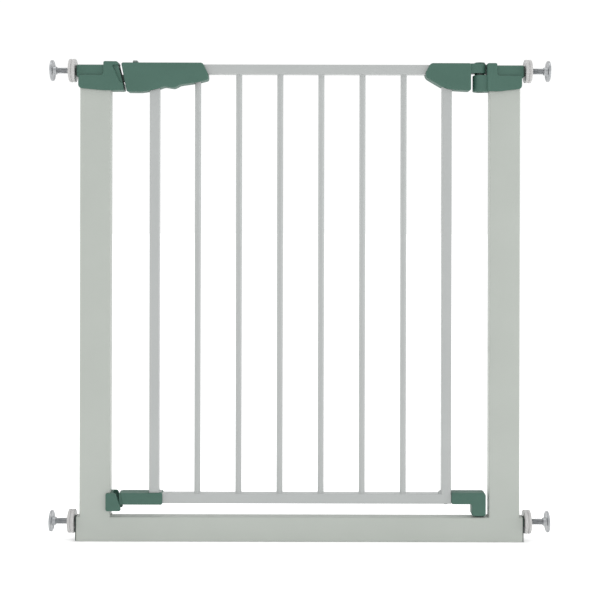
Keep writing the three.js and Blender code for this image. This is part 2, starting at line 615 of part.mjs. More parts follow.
function railPlug() {
  const fit = TUBE_WALL + GAP;
  const centreZ = RAIL_TOP / 2 - SPINDLE_Z.lower;
  const plug = plate('x', rectangle(FRAME_HALF_DEPTH - fit, RAIL_TOP / 2 - fit, 1),
    RAIL_HALF - GUIDE_DEPTH, RAIL_HALF + GAP).translate([0, 0, centreZ]);
  const cover = plate('x', rectangle(FRAME_HALF_DEPTH - GAP, RAIL_TOP / 2 - GAP, 2),
    RAIL_HALF + GAP, RAIL_HALF + 1.5, 0.4).translate([0, 0, centreZ]);
  const collar = cylinder('x', GUIDE_RADIUS + 1.5, RAIL_HALF + 1, WHEEL_INNER_X - 2 * GAP, [0, 0, 0], 24);
  const bore = cylinder(
    'x', SPINDLE_RADIUS + 2 * GAP, RAIL_HALF - GUIDE_DEPTH - PAST, WHEEL_INNER_X + PAST, [0, 0, 0]);
  return cut(join(plug, cover, collar), bore);
}

function adjusterWheel() {
  const bore = SPINDLE_RADIUS + GAP;
  const rim = 1.6;
  return turned('x', [
    [bore, WHEEL_INNER_X], [WHEEL_RADIUS - rim, WHEEL_INNER_X], [WHEEL_RADIUS, WHEEL_INNER_X + rim],
    [WHEEL_RADIUS, WHEEL_OUTER_X - rim], [WHEEL_RADIUS - rim, WHEEL_OUTER_X], [bore, WHEEL_OUTER_X],
    [bore, WHEEL_INNER_X],
  ], [0, 0, 0], 36);
}

function spindle() {
  const chamfer = 1;
  return turned('x', [
    [0, SPINDLE_INNER_X], [SPINDLE_RADIUS - chamfer, SPINDLE_INNER_X],
    [SPINDLE_RADIUS, SPINDLE_INNER_X + chamfer], [SPINDLE_RADIUS, SPINDLE_OUTER_X], [0, SPINDLE_OUTER_X],
  ], [0, 0, 0], 20);
}

function wallPad() {
  const bore = SPINDLE_RADIUS + GAP;
  const bossFace = 397.5;
  return turned('x', [
    [0, SPINDLE_OUTER_X + GAP], [bore, SPINDLE_OUTER_X + GAP], [bore, bossFace], [8, bossFace],
    [8.6, 400.5], [PAD_RADIUS - 1, 403.4], [PAD_RADIUS, 404.4], [PAD_RADIUS, PAD_FACE_X], [0, PAD_FACE_X],
  ], [0, 0, 0], 28);
}

for (const [level, z] of Object.entries(SPINDLE_Z)) {
  for (const [side, turn] of [['left', Math.PI], ['right', 0]]) {
    const name = `${level}_${side}`;
    const guide = level === 'upper' ? upperGuide() : railPlug();
    addPiece(frame, `${name}_spindle_guide`, guide, BLACK_NYLON, { z, turn });
    addPiece(frame, `${name}_wheel`, adjusterWheel(), PALE_PLASTIC, { z, turn });
    addPiece(frame, `${name}_spindle`, spindle(), ZINC, { z, turn });
    addPiece(frame, `${name}_wall_pad`, wallPad(), ZINC, { z, turn });
  }
}

export default gate;
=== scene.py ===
"""Safety baby gate: surfaces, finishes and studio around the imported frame.

The steel frame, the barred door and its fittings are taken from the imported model. This script lays
finely made surfaces over them (tubes with welds, moulded housings, ribbed hand wheels, threaded
spindles, pressed pads) and dresses every piece. Lengths are in metres, +Z is up, and +X points to the
hinge side.
"""
import json
import logging
import math
from dataclasses import dataclass, field
from enum import Enum
from typing import Callable, Sequence

import bpy
import numpy as np
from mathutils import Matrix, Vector


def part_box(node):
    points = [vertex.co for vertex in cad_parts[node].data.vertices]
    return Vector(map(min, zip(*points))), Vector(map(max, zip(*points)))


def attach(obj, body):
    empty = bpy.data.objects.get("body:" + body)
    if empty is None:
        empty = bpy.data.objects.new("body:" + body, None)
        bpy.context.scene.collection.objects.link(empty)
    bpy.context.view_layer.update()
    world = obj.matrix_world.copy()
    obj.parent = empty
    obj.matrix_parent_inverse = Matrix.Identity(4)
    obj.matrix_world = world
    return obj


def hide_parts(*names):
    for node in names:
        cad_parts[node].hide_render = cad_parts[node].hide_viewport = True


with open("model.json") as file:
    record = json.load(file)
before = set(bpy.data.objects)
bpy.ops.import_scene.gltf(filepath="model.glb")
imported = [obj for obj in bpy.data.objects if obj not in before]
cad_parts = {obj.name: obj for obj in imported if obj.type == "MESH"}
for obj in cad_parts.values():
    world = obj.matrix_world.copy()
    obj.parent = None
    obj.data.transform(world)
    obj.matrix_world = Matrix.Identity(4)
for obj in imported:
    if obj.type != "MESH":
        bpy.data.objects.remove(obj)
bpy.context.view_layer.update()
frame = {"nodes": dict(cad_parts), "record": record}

log = logging.getLogger("gate")
MM = 0.001
TURN = 2 * math.pi
SHORTEST_EDGE = 1e-7
PARALLEL_SINE = 0.02
SHALLOWEST_MITRE = 0.35
LONGEST_STRAY = 3
FLAT_RIM = 0.12 * MM
WALL_STEP = 0.5 * MM
JOINT_GAP = 0.3 * MM
TUBE_GAP = 0.4 * MM
SHELL_SEAM = 0.12 * MM


class Axis(Enum):
    """The row axis that a piece runs along, with the order that carries (u, v, along) to X, Y, Z."""

    X = (2, 0, 1)
    Y = (0, 2, 1)
    Z = (0, 1, 2)


class Side(Enum):
    """The latch side and the hinge side of the gate, as a sign along X."""

    LATCH = -1
    HINGE = 1

    @property
    def word(self) -> str:
        """The side's word in node names."""
        return "left" if self is Side.LATCH else "right"


class Level(Enum):
    """The two heights at which adjusters sit."""

    UPPER = "upper"
    LOWER = "lower"


# ---------------------------------------------------------------- surfaces

Faces = list[tuple[int, ...]]


def grid_faces(rings: int, around: int, closed_rings: bool, start: int = 0) -> np.ndarray:
    """Quads over a grid whose columns close round: vertex (i, j) is start + i * around + j.

    Args:
        rings: Number of rings of the grid.
        around: Number of points on each ring.
        closed_rings: Whether the last ring joins the first one.
        start: Index of the grid's first vertex.

    Returns:
        An (n, 4) array of vertex indices.
    """
    last = rings if closed_rings else rings - 1
    i, j = np.meshgrid(np.arange(last), np.arange(around), indexing="ij")
    here, up = i * around, ((i + 1) % rings) * around
    nxt = (j + 1) % around
    quads = np.stack([here + j, here + nxt, up + nxt, up + j], axis=-1)
    return quads.reshape(-1, 4) + start


def signed_volume(points: np.ndarray, quads: np.ndarray, caps: Faces) -> float:
    """Six times the volume inside a closed surface, as the sum of a x b . c over a fan of every face.

    Args:
        points: Vertex positions, (n, 3).
        quads: Quad indices, (m, 4).
        caps: Flat end faces with any number of corners.

    Returns:
        A value above zero where the faces point outwards.
    """
    def fan(a: np.ndarray, b: np.ndarray, c: np.ndarray) -> float:
        """The sum of a x b . c over triangles with these corners."""
        return float(np.einsum("ij,ij->", np.cross(points[a], points[b]), points[c]))

    total = fan(quads[:, 0], quads[:, 1], quads[:, 2]) + fan(quads[:, 0], quads[:, 2], quads[:, 3])
    for cap in caps:
        ring = np.asarray(cap)
        total += fan(np.full(len(ring) - 2, ring[0]), ring[1:-1], ring[2:])
    return total


@dataclass
class Surface:
    """A closed surface under construction: vertices, quads and flat caps, always facing outwards."""

    points: list[np.ndarray] = field(default_factory=list)
    faces: Faces = field(default_factory=list)

    @property
    def count(self) -> int:
        """How many vertices the surface has so far."""
        return sum(len(p) for p in self.points)

    def add_grid(self, rings: np.ndarray, closed_rings: bool = False) -> "Surface":
        """Adds a solid whose skin is a grid of rings, closed into a ring or shut by a flat cap at each end.

        Args:
            rings: Positions, (rings, around, 3), each ring closing round on itself.
            closed_rings: Whether the last ring joins the first, as on a hollow tube.

        Returns:
            This surface.
        """
        count, around = rings.shape[:2]
        flat = rings.reshape(-1, 3)
        quads = grid_faces(count, around, closed_rings)
        caps: Faces = []
        if not closed_rings:
            caps = [tuple(range(around))[::-1], tuple(range((count - 1) * around, count * around))]
        if signed_volume(flat, quads, caps) < 0:
            quads = quads[:, ::-1]
            caps = [cap[::-1] for cap in caps]
        start = self.count
        self.points.append(flat)
        self.faces += [tuple(q) for q in (quads + start).tolist()]
        self.faces += [tuple(index + start for index in cap) for cap in caps]
        return self

    def piece(self, name: str, sharp_above: float = 35.0) -> bpy.types.Object:
        """Makes the scene object: flat on its caps, smooth elsewhere, crisp across sharp edges.

        Args:
            name: The object's name.
            sharp_above: The angle in degrees past which an edge stays crisp.

        Returns:
            The new object, at the origin with its place in its mesh.
        """
        mesh = bpy.data.meshes.new(name)
        mesh.from_pydata(np.concatenate(self.points).tolist(), [], self.faces)
        mesh.validate()
        mesh.shade_smooth()
        rounded = np.array([len(face) <= 4 for face in self.faces])
        mesh.polygons.foreach_set("use_smooth", rounded)
        mesh.set_sharp_from_angle(angle=math.radians(sharp_above))
        made = bpy.data.objects.new(name, mesh)
        bpy.context.scene.collection.objects.link(made)
        return made


def placed(u: np.ndarray, v: np.ndarray, along: np.ndarray, axis: Axis,
           centre: Sequence[float]) -> np.ndarray:
    """Carries section coordinates and a distance along an axis into the gate's frame.

    Args:
        u: First section coordinate.
        v: Second section coordinate.
        along: Position along the axis.
        axis: The axis the piece runs along.
        centre: The row-frame point that the section's middle passes through.

    Returns:
        Positions with a last axis of X, Y, Z.
    """
    u, v, along = np.broadcast_arrays(u, v, along)
    stacked = np.stack([u, v, along], axis=-1)
    return stacked[..., list(axis.value)] + np.asarray(centre, float)


def turned(profile: np.ndarray, axis: Axis, centre: Sequence[float], around: int = 64,
           wave: Callable[[np.ndarray, np.ndarray, np.ndarray], np.ndarray] | None = None,
           closed: bool = False) -> Surface:
    """A turned surface: radius and position come from the profile, and the angle runs once round.

    A point is (r cos a, r sin a, h), where (r, h) is a profile point and a the angle. A wave adds to r.

    Args:
        profile: (k, 2) array of radius and position along the axis.
        axis: The axis of turning.
        centre: A point on that axis.
        around: Number of points round the piece.
        wave: Optional function of (radius, position, angle) that gives the height added to the radius.
        closed: Whether the profile closes on itself, as on a ring with a bore.

    Returns:
        The closed surface.
    """
    angle = np.linspace(0, TURN, around, endpoint=False)[None, :]
    radius, height = profile[:, :1], profile[:, 1:]
    if wave is not None:
        radius = radius + wave(radius, height, angle)
    rings = placed(radius * np.cos(angle), radius * np.sin(angle), height + 0 * angle, axis, centre)
    return Surface().add_grid(rings, closed_rings=closed)


def rounded_profile(corners: Sequence[tuple[float, float, float]], steps: int = 6,
                    closed: bool = True) -> np.ndarray:
    """A line through corners, each rounded by a parabola that starts and ends `trim` away from the corner.

    Between its ends a corner's point is (1-t)^2 start + 2t(1-t) corner + t^2 end. Where two neighbours'
    trims are longer than the edge between them, both shrink in proportion until they fit.

    Args:
        corners: Corner positions with the reach of the rounding along both edges, as (u, v, trim).
        steps: Points on each rounded corner.
        closed: Whether the last corner joins the first. Otherwise the two ends stay sharp.

    Returns:
        (n, 2) positions with no two neighbours alike.
    """
    data = np.asarray(corners, float)
    at, trim = data[:, :2], data[:, 2:].copy()
    if not closed:
        trim[[0, -1]] = 0
    before, after = np.roll(at, 1, axis=0), np.roll(at, -1, axis=0)
    to_before, to_after = before - at, after - at
    both = np.maximum(trim + np.roll(trim, -1, axis=0), 1e-9)
    room = 0.98 * np.linalg.norm(to_after, axis=1, keepdims=True) / both
    trim *= np.minimum(1, np.minimum(room, np.roll(room, 1, axis=0)))
    start = at + to_before * trim / np.linalg.norm(to_before, axis=1, keepdims=True)
    end = at + to_after * trim / np.linalg.norm(to_after, axis=1, keepdims=True)
    t = np.linspace(0, 1, steps)[None, :, None]
    curve = (1 - t) ** 2 * start[:, None] + 2 * t * (1 - t) * at[:, None] + t**2 * end[:, None]
    flat = curve.reshape(-1, 2)
    previous = np.roll(flat, 1, axis=0)
    keep = np.linalg.norm(flat - previous, axis=1) > SHORTEST_EDGE
    keep[0] = True if not closed else keep[0]
    return flat[keep]


def rectangle(half_u: float, half_v: float, corner: float, steps: int = 6) -> np.ndarray:
    """A rounded rectangle about the middle, run counter-clockwise.

    Args:
        half_u: Half of its width.
        half_v: Half of its height.
        corner: Reach of the corner rounding.
        steps: Points on each corner.

    Returns:
        (n, 2) positions.
    """
    signs = [(-1, -1), (1, -1), (1, 1), (-1, 1)]
    return rounded_profile([(a * half_u, b * half_v, corner) for a, b in signs], steps)


Section = tuple[np.ndarray, float]


def stacked(sections: Sequence[Section], axis: Axis, centre: Sequence[float]) -> np.ndarray:
    """Lays sections one after another along an axis.

    Args:
        sections: Each section's (n, 2) outline and its place along the axis.
        axis: The axis they follow.
        centre: A point that every outline's origin passes through.

    Returns:
        Positions, (sections, n, 3).
    """
    return np.stack([placed(ring[:, 0], ring[:, 1], np.full(len(ring), along), axis, centre)
                     for ring, along in sections])


def tube(outer: np.ndarray, wall: float, low: float, high: float, axis: Axis, centre: Sequence[float],
         lip: float = 0.35 * MM) -> Surface:
    """A hollow tube with open ends: its section runs along the axis, over the lip and back inside.

    Args:
        outer: (n, 2) outer section.
        wall: Wall thickness; the inner section is the outer one shrunk towards its middle by that much.
        low: Where the tube starts along the axis.
        high: Where it ends.
        axis: The axis it runs along.
        centre: A point on its middle line.
        lip: How far the cut ends are rounded.

    Returns:
        The closed surface.
    """
    half = np.abs(outer).max(axis=0)
    shrink = lambda amount: outer * (half - amount) / half
    stations = [
        (wall, low), (lip, low), (0.0, low + lip), (0.0, high - lip), (lip, high), (wall, high),
    ]
    rings = stacked([(shrink(amount), along) for amount, along in stations], axis, centre)
    return Surface().add_grid(rings, closed_rings=True)


def inset(loop: np.ndarray, amount: float) -> np.ndarray:
    """Moves a counter-clockwise outline inwards by the same distance, along the mitre at each point.

    Where a rounding is tighter than the distance its edges would turn over. Those edges shrink to
    nothing instead: the most turned one is dropped, its neighbours meet at a new mitre, and so on until
    every edge left runs forwards.

    Args:
        loop: (n, 2) outline.
        amount: The distance in metres.

    Returns:
        The moved outline, with as many points as before.
    """
    edge = np.roll(loop, -1, axis=0) - loop
    length = np.linalg.norm(edge, axis=1)
    edge /= np.maximum(length, SHORTEST_EDGE)[:, None]
    inward = np.stack([-edge[:, 1], edge[:, 0]], axis=1)
    offset = np.einsum("ij,ij->i", inward, loop) + amount
    alive = np.flatnonzero(length > SHORTEST_EDGE)
    while True:
        previous = np.roll(alive, 1)
        cross = edge[previous, 0] * edge[alive, 1] - edge[previous, 1] * edge[alive, 0]
        mitre = inward[alive] + inward[previous]
        reach = np.maximum(np.einsum("ij,ij->i", mitre, inward[alive]), SHALLOWEST_MITRE)
        along_mitre = loop[alive] + amount * mitre / reach[:, None]
        parallel = np.abs(cross) <= PARALLEL_SINE
        meeting = offset[previous, None] * edge[alive] - offset[alive, None] * edge[previous]
        meeting /= np.where(parallel, 1.0, cross)[:, None]
        joined = (alive - previous) % len(loop) == 1
        strayed = np.linalg.norm(meeting - loop[alive], axis=1) > LONGEST_STRAY * abs(amount)
        corner = np.where((joined | strayed | parallel)[:, None], along_mitre, meeting)
        run = np.einsum("ij,ij->i", np.roll(corner, -1, axis=0) - corner, edge[alive])
        if amount <= 0 or run.min() >= 0 or len(alive) <= 4:
            return corner[np.searchsorted(alive, np.arange(len(loop))) % len(alive)]
        alive = np.delete(alive, int(run.argmin()))


def rolled(loop: np.ndarray, radius: float, end: float, inwards: int, steps: int) -> list[Section]:
    """The sections of a rolled edge, from the outline's full width to the face at its end.

    For a from 0 to a quarter turn the outline moves in by r (1 - cos a), while its place moves from r
    short of the end to the end itself, by r sin a.

    Args:
        loop: (n, 2) counter-clockwise outline.
        radius: The edge's radius r.
        end: The face's place along the axis.
        inwards: 1 where the material lies above the face, -1 where it lies below.
        steps: How many sections.

    Returns:
        The sections.
    """
    return [(inset(loop, radius * (1 - math.cos(a))), end + inwards * radius * (1 - math.sin(a)))
            for a in np.linspace(0, math.pi / 2, steps)]


def plate(loop: np.ndarray, front: float, back: float, front_round: float, back_round: float,
          surface: Surface | None = None, steps: int = 5, axis: Axis = Axis.Y) -> Surface:
    """A moulded plate: an outline given thickness along an axis, with its front and back edges rolled over.

    One more ring, just inside each rolled edge, keeps the flat face flat.

    Args:
        loop: (n, 2) counter-clockwise outline, in X and Z for a plate along Y.
        front: The front face's place on the axis, the lower one.
        back: The back face's place.
        front_round: Radius of the front edge, or 0 for a square edge.
        back_round: Radius of the back edge, or 0 for a square edge.
        surface: Surface to add to; a new one if left out.
        steps: Rings on each rolled edge.
        axis: The axis that the thickness runs along.

    Returns:
        The surface with the plate added.
    """
    sections = [
        (inset(loop, front_round + FLAT_RIM), front),
        *rolled(loop, front_round, front, 1, steps if front_round > 0 else 1)[::-1],
        *rolled(loop, back_round, back, -1, steps if back_round > 0 else 1),
        (inset(loop, back_round + FLAT_RIM), back),
    ]
    return (surface or Surface()).add_grid(stacked(sections, axis, (0, 0, 0)))


def bored(loop: np.ndarray, bore: float, middle: Sequence[float], low: float, high: float, edge: float,
          axis: Axis, centre: Sequence[float], surface: Surface | None = None, steps: int = 5) -> Surface:
    """A plate with a round hole: the outline's skin, over a rolled edge, back along the hole and out again.

    Every point of the outline has a partner on the hole, in the same direction from the hole's middle.

    Args:
        loop: (n, 2) outline that the hole's middle can see all of.
        bore: Radius of the hole.
        middle: The hole's middle in the outline's plane.
        low: Where the plate starts along the axis.
        high: Where it ends.
        edge: Radius of the rolled outer edges.
        axis: The axis that the hole runs along.
        centre: A point that the outline's origin passes through.
        surface: Surface to add to; a new one if left out.
        steps: Rings on each rolled edge.

    Returns:
        The surface with the plate added.
    """
    away = loop - np.asarray(middle, float)
    hole = np.asarray(middle, float) + bore * away / np.linalg.norm(away, axis=1, keepdims=True)
    sections = [
        (hole, low), *rolled(loop, edge, low, 1, steps)[::-1],
        *rolled(loop, edge, high, -1, steps), (hole, high),
    ]
    return (surface or Surface()).add_grid(stacked(sections, axis, centre), closed_rings=True)


def resampled(loop: np.ndarray, step: float) -> np.ndarray:
    """An outline with further points on its long edges: no two neighbours are over a step apart.

    Args:
        loop: The closed outline.
        step: The longest edge allowed.

    Returns:
        The outline with the further points.
    """
    after = np.roll(loop, -1, axis=0)
    counts = np.maximum(1, np.ceil(np.linalg.norm(after - loop, axis=1) / step).astype(int))
    start, reach = np.repeat(loop, counts, axis=0), np.repeat(after - loop, counts, axis=0)
    place = np.arange(counts.sum()) - np.repeat(np.cumsum(counts) - counts, counts)
    return start + reach * (place / np.repeat(counts, counts))[:, None]


Window = tuple[float, float, float, float]


def rim_walls(loop: np.ndarray, wall: float, windows: Sequence[Window]) -> list[np.ndarray]:
    """The strips of wall that follow an outline between its openings.

    Args:
        loop: (n, 2) counter-clockwise outline.
        wall: Wall thickness.
        windows: Openings as (low u, high u, low v, high v), in which the wall is left out.

    Returns:
        One counter-clockwise outline per strip.
    """
    dense = resampled(loop, WALL_STEP)
    inner = inset(dense, wall)
    solid = np.ones(len(dense), bool)
    for u0, u1, v0, v1 in windows:
        solid &= ~((dense[:, 0] > u0) & (dense[:, 0] < u1) & (dense[:, 1] > v0) & (dense[:, 1] < v1))
    first = int(np.argmin(solid))
    order = np.roll(np.arange(len(dense)), -first)
    runs = np.split(order, np.flatnonzero(np.diff(solid[order].astype(int))) + 1)
    return [np.concatenate([dense[run], inner[run][::-1]]) for run in runs if solid[run[0]] and len(run) > 3]


# ---------------------------------------------------------------- finishes


def linear(value: float) -> float:
    """A display value from 0 to 1 as light: v / 12.92 when dark, else ((v + 0.055) / 1.055) ^ 2.4."""
    return value / 12.92 if value <= 0.04045 else ((value + 0.055) / 1.055) ** 2.4


def shade(red: int, green: int, blue: int) -> tuple[float, float, float, float]:
    """A colour given as 0 to 255 display values, as a shader colour."""
    return (linear(red / 255), linear(green / 255), linear(blue / 255), 1.0)


class Nodes:
    """A short hand for building one material's nodes on Object coordinates."""

    def __init__(self, name: str) -> None:
        """Starts a material with its shader and its object-space coordinates.

        Args:
            name: The material's name.
        """
        self.material = bpy.data.materials.new(name)
        self.material.use_nodes = True
        self.tree = self.material.node_tree
        self.shader = self.tree.nodes["Principled BSDF"]
        self.place = self.add("ShaderNodeTexCoord").outputs["Object"]

    def add(self, kind: str, **settings: object) -> bpy.types.Node:
        """Adds a node and sets its plain properties.

        Args:
            kind: The node's type name.
            settings: The properties and their values.

        Returns:
            The node.
        """
        node = self.tree.nodes.new(kind)
        for key, value in settings.items():
            setattr(node, key, value)
        return node

    def link(self, source: bpy.types.NodeSocket, target: bpy.types.NodeSocket) -> None:
        """Joins two sockets."""
        self.tree.links.new(source, target)

    def stretched(self, scale: Sequence[float]) -> bpy.types.NodeSocket:
        """Object coordinates scaled by a factor along each axis.

        Args:
            scale: The three factors.

        Returns:
            The scaled coordinates.
        """
        mapping = self.add("ShaderNodeMapping")
        mapping.inputs["Scale"].default_value = scale
        self.link(self.place, mapping.inputs["Vector"])
        return mapping.outputs["Vector"]

    def noise(self, scale: float, detail: float = 3.0,
              place: bpy.types.NodeSocket | None = None) -> bpy.types.NodeSocket:
        """Cloudy noise with `scale` features per metre.

        Args:
            scale: Features per metre.
            detail: How many finer layers lie over the first.
            place: The coordinates; Object coordinates if left out.

        Returns:
            The noise, from 0 to 1.
        """
        node = self.add("ShaderNodeTexNoise")
        node.inputs["Scale"].default_value = scale
        node.inputs["Detail"].default_value = detail
        self.link(place or self.place, node.inputs["Vector"])
        return node.outputs["Fac"]

    def cells(self, scale: float) -> bpy.types.NodeSocket:
        """Rounded cells, as a distance from each cell's middle, with `scale` cells per metre.

        Args:
            scale: Cells per metre.

        Returns:
            The distance.
        """
        node = self.add("ShaderNodeTexVoronoi")
        node.inputs["Scale"].default_value = scale
        self.link(self.place, node.inputs["Vector"])
        return node.outputs["Distance"]

    def spread(self, value: bpy.types.NodeSocket, low: float, high: float,
               inside: tuple[float, float] = (0.3, 0.7)) -> bpy.types.NodeSocket:
        """Maps a value from the `inside` range to the range low to high.

        Args:
            value: The value to map.
            low: What the start of the inside range becomes.
            high: What its end becomes.
            inside: The range the value is taken from.

        Returns:
            The mapped value.
        """
        node = self.add("ShaderNodeMapRange")
        for key, number in zip(("From Min", "From Max", "To Min", "To Max"), (*inside, low, high)):
            node.inputs[key].default_value = number
        self.link(value, node.inputs["Value"])
        return node.outputs["Result"]

    def blend(self, factor: bpy.types.NodeSocket, first: Sequence[float],
              second: Sequence[float]) -> bpy.types.NodeSocket:
        """Mixes two colours by a factor.

        Args:
            factor: How much of the second colour, from 0 to 1.
            first: The colour at 0.
            second: The colour at 1.

        Returns:
            The mixed colour.
        """
        node = self.add("ShaderNodeMix", data_type="RGBA")
        sockets = {s.identifier: s for s in node.inputs}
        sockets["A_Color"].default_value = first
        sockets["B_Color"].default_value = second
        self.link(factor, sockets["Factor_Float"])
        return {s.identifier: s for s in node.outputs}["Result_Color"]

    def bump(self, height: bpy.types.NodeSocket, strength: float, depth: float) -> None:
        """Raises the surface by a height field, `depth` metres deep, on top of any earlier bump.

        Args:
            height: The height field, from 0 to 1.
            strength: How much of the bump shows, from 0 to 1.
            depth: The height of the field's 1, in metres.
        """
        node = self.add("ShaderNodeBump")
        node.inputs["Strength"].default_value = strength
        node.inputs["Distance"].default_value = depth
        self.link(height, node.inputs["Height"])
        normal = self.shader.inputs["Normal"]
        if normal.is_linked:
            self.link(normal.links[0].from_socket, node.inputs["Normal"])
        self.link(node.outputs["Normal"], normal)


@dataclass(frozen=True)
class PowderCoat:
    """Baked powder paint on steel: an even colour, faint clouding and the fine dimples of orange peel."""

    name: str
    colour: tuple[float, float, float, float]
    cloud: tuple[float, float, float, float]
    gloss: tuple[float, float] = (0.40, 0.52)

    def material(self) -> bpy.types.Material:
        """Builds the finish.

        Returns:
            The material.
        """
        nodes = Nodes(self.name)
        tint = nodes.blend(nodes.spread(nodes.noise(9.0), 0.0, 1.0), self.colour, self.cloud)
        nodes.link(tint, nodes.shader.inputs["Base Color"])
        nodes.link(nodes.spread(nodes.noise(60.0), *self.gloss), nodes.shader.inputs["Roughness"])
        nodes.bump(nodes.noise(420.0, 2.0), 0.10, 0.00025)
        nodes.bump(nodes.noise(2600.0, 1.0), 0.06, 0.00005)
        nodes.shader.inputs["Coat Weight"].default_value = 0.15
        nodes.shader.inputs["Coat Roughness"].default_value = 0.3
        return nodes.material


@dataclass(frozen=True)
class GrainedPlastic:
    """Moulded plastic with a spark-eroded grain and a little flow clouding."""

    name: str
    colour: tuple[float, float, float, float]
    cloud: tuple[float, float, float, float]
    gloss: tuple[float, float] = (0.42, 0.56)
    grain: float = 0.22

    def material(self) -> bpy.types.Material:
        """Builds the finish.

        Returns:
            The material.
        """
        nodes = Nodes(self.name)
        flow = nodes.noise(22.0, 4.0, nodes.stretched((0.6, 1.0, 1.4)))
        nodes.link(nodes.blend(nodes.spread(flow, 0.0, 1.0), self.colour, self.cloud),
                   nodes.shader.inputs["Base Color"])
        nodes.link(nodes.spread(nodes.noise(150.0), *self.gloss), nodes.shader.inputs["Roughness"])
        nodes.bump(nodes.cells(1900.0), self.grain, 0.00006)
        nodes.bump(nodes.noise(3200.0, 2.0), self.grain, 0.00005)
        return nodes.material


@dataclass(frozen=True)
class MilkyPlastic:
    """Pale, faintly see-through plastic: soft light inside it and small cloudy marks."""

    name: str
    colour: tuple[float, float, float, float]
    cloud: tuple[float, float, float, float]

    def material(self) -> bpy.types.Material:
        """Builds the finish.

        Returns:
            The material.
        """
        nodes = Nodes(self.name)
        nodes.link(nodes.blend(nodes.spread(nodes.noise(70.0, 4.0), 0.0, 1.0), self.colour, self.cloud),
                   nodes.shader.inputs["Base Color"])
        nodes.link(nodes.spread(nodes.noise(240.0), 0.24, 0.4), nodes.shader.inputs["Roughness"])
        nodes.bump(nodes.noise(900.0, 3.0), 0.08, 0.00008)
        nodes.shader.inputs["Subsurface Weight"].default_value = 0.25
        nodes.shader.inputs["Subsurface Radius"].default_value = (0.004, 0.004, 0.004)
        nodes.shader.inputs["Subsurface Scale"].default_value = 1.0
        return nodes.material


@dataclass(frozen=True)
class ZincPlate:
    """Bright zinc on steel: a bluish metal with cloudy patches and fine rubbing marks."""

    name: str
    colour: tuple[float, float, float, float]
    cloud: tuple[float, float, float, float]
    gloss: tuple[float, float] = (0.24, 0.42)
    streak: tuple[float, float, float] = (1.0, 6.0, 6.0)

    def material(self) -> bpy.types.Material:
        """Builds the finish.

        Returns:
            The material.
        """
        nodes = Nodes(self.name)
        nodes.link(nodes.blend(nodes.spread(nodes.noise(120.0, 4.0), 0.0, 1.0), self.colour, self.cloud),
                   nodes.shader.inputs["Base Color"])
        rubbing = nodes.noise(260.0, 3.0, nodes.stretched(self.streak))
        nodes.link(nodes.spread(rubbing, *self.gloss), nodes.shader.inputs["Roughness"])
        nodes.bump(rubbing, 0.1, 0.00005)
        nodes.shader.inputs["Metallic"].default_value = 0.85
        return nodes.material


class Finishes:
    """Every finish on the gate, made once and shared by its pieces, by the record's slot name."""

    def __init__(self) -> None:
        """Makes the materials."""
        made = [
            PowderCoat("frame_paint", shade(166, 171, 165), shade(162, 167, 161)),
            PowderCoat("door_paint", shade(165, 168, 167), shade(161, 164, 163), (0.34, 0.46)),
            GrainedPlastic("green_plastic", shade(59, 94, 82), shade(54, 89, 77), (0.50, 0.62)),
            MilkyPlastic("pale_plastic", shade(182, 181, 180), shade(173, 172, 171)),
            GrainedPlastic("grey_plastic", shade(128, 136, 133), shade(118, 127, 124), (0.4, 0.5)),
            GrainedPlastic("black_nylon", shade(33, 50, 43), shade(39, 57, 49), (0.35, 0.5), 0.12),
            ZincPlate("zinc_steel", shade(176, 178, 179), shade(150, 153, 156)),
            ZincPlate("spring_steel", shade(172, 172, 174), shade(150, 150, 153), (0.2, 0.34),
                      (1.0, 1.0, 1.0)),
        ]
        self.by_slot = {finish.name: finish.material() for finish in made}

    def dress(self, piece: bpy.types.Object, slot: str) -> None:
        """Gives a piece the finish of a slot, in place of any material it has."""
        piece.data.materials.clear()
        piece.data.materials.append(self.by_slot[slot])

    def dress_packed(self, node: str, slot: str) -> None:
        """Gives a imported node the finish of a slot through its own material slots.

        Args:
            node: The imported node.
            slot: Which finish it wears.
        """
        piece = frame["nodes"][node]
        if not piece.material_slots:
            piece.data.materials.append(self.by_slot[slot])
        for holder in piece.material_slots:
            holder.material = self.by_slot[slot]


SLOT_OF = {part["node"]: part["material_slot"] for part in frame["record"]["subparts"]}
BODY_OF = {node: body for body, nodes in frame["record"]["behaviour"]["bodies"].items() for node in nodes}


@dataclass
class Workshop:
    """Puts finished surfaces on the gate: names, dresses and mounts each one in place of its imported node."""

    finishes: Finishes
    placed: int = 0

    def fit(self, surface: Surface, node: str, sharp_above: float = 35.0) -> None:
        """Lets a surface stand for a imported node.

        Args:
            surface: The finished surface.
            node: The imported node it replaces.
            sharp_above: The angle past which edges stay crisp, in degrees.
        """
        piece = surface.piece(f"{node}_skin", sharp_above)
        self.mount(piece, BODY_OF[node], SLOT_OF[node])
        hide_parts(node)

    def trim(self, surface: Surface, name: str, body: str, slot: str, sharp_above: float = 35.0) -> None:
        """Adds a small extra piece, such as a weld bead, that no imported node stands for."""
        self.mount(surface.piece(name, sharp_above), body, slot)

    def mount(self, piece: bpy.types.Object, body: str, slot: str) -> None:
        """Dresses a piece, rides it on a body and reports it.

        Args:
            piece: The made object.
            body: The body that carries it.
            slot: Which finish it wears.
        """
        self.finishes.dress(piece, slot)
        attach(piece, body)
        self.placed += 1
        log.info("%s: %d faces on %s", piece.name, len(piece.data.polygons), body)

    def keep(self, node: str) -> None:
        """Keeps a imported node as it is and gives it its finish."""
        self.finishes.dress_packed(node, SLOT_OF[node])
        log.info("%s: packed node, dressed in %s", node, SLOT_OF[node])


def corners(node: str) -> tuple[np.ndarray, np.ndarray]:
    """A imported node's lowest and highest corner as arrays."""
    low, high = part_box(node)
    return np.array(low, float), np.array(high, float)


# ---------------------------------------------------------------- welds


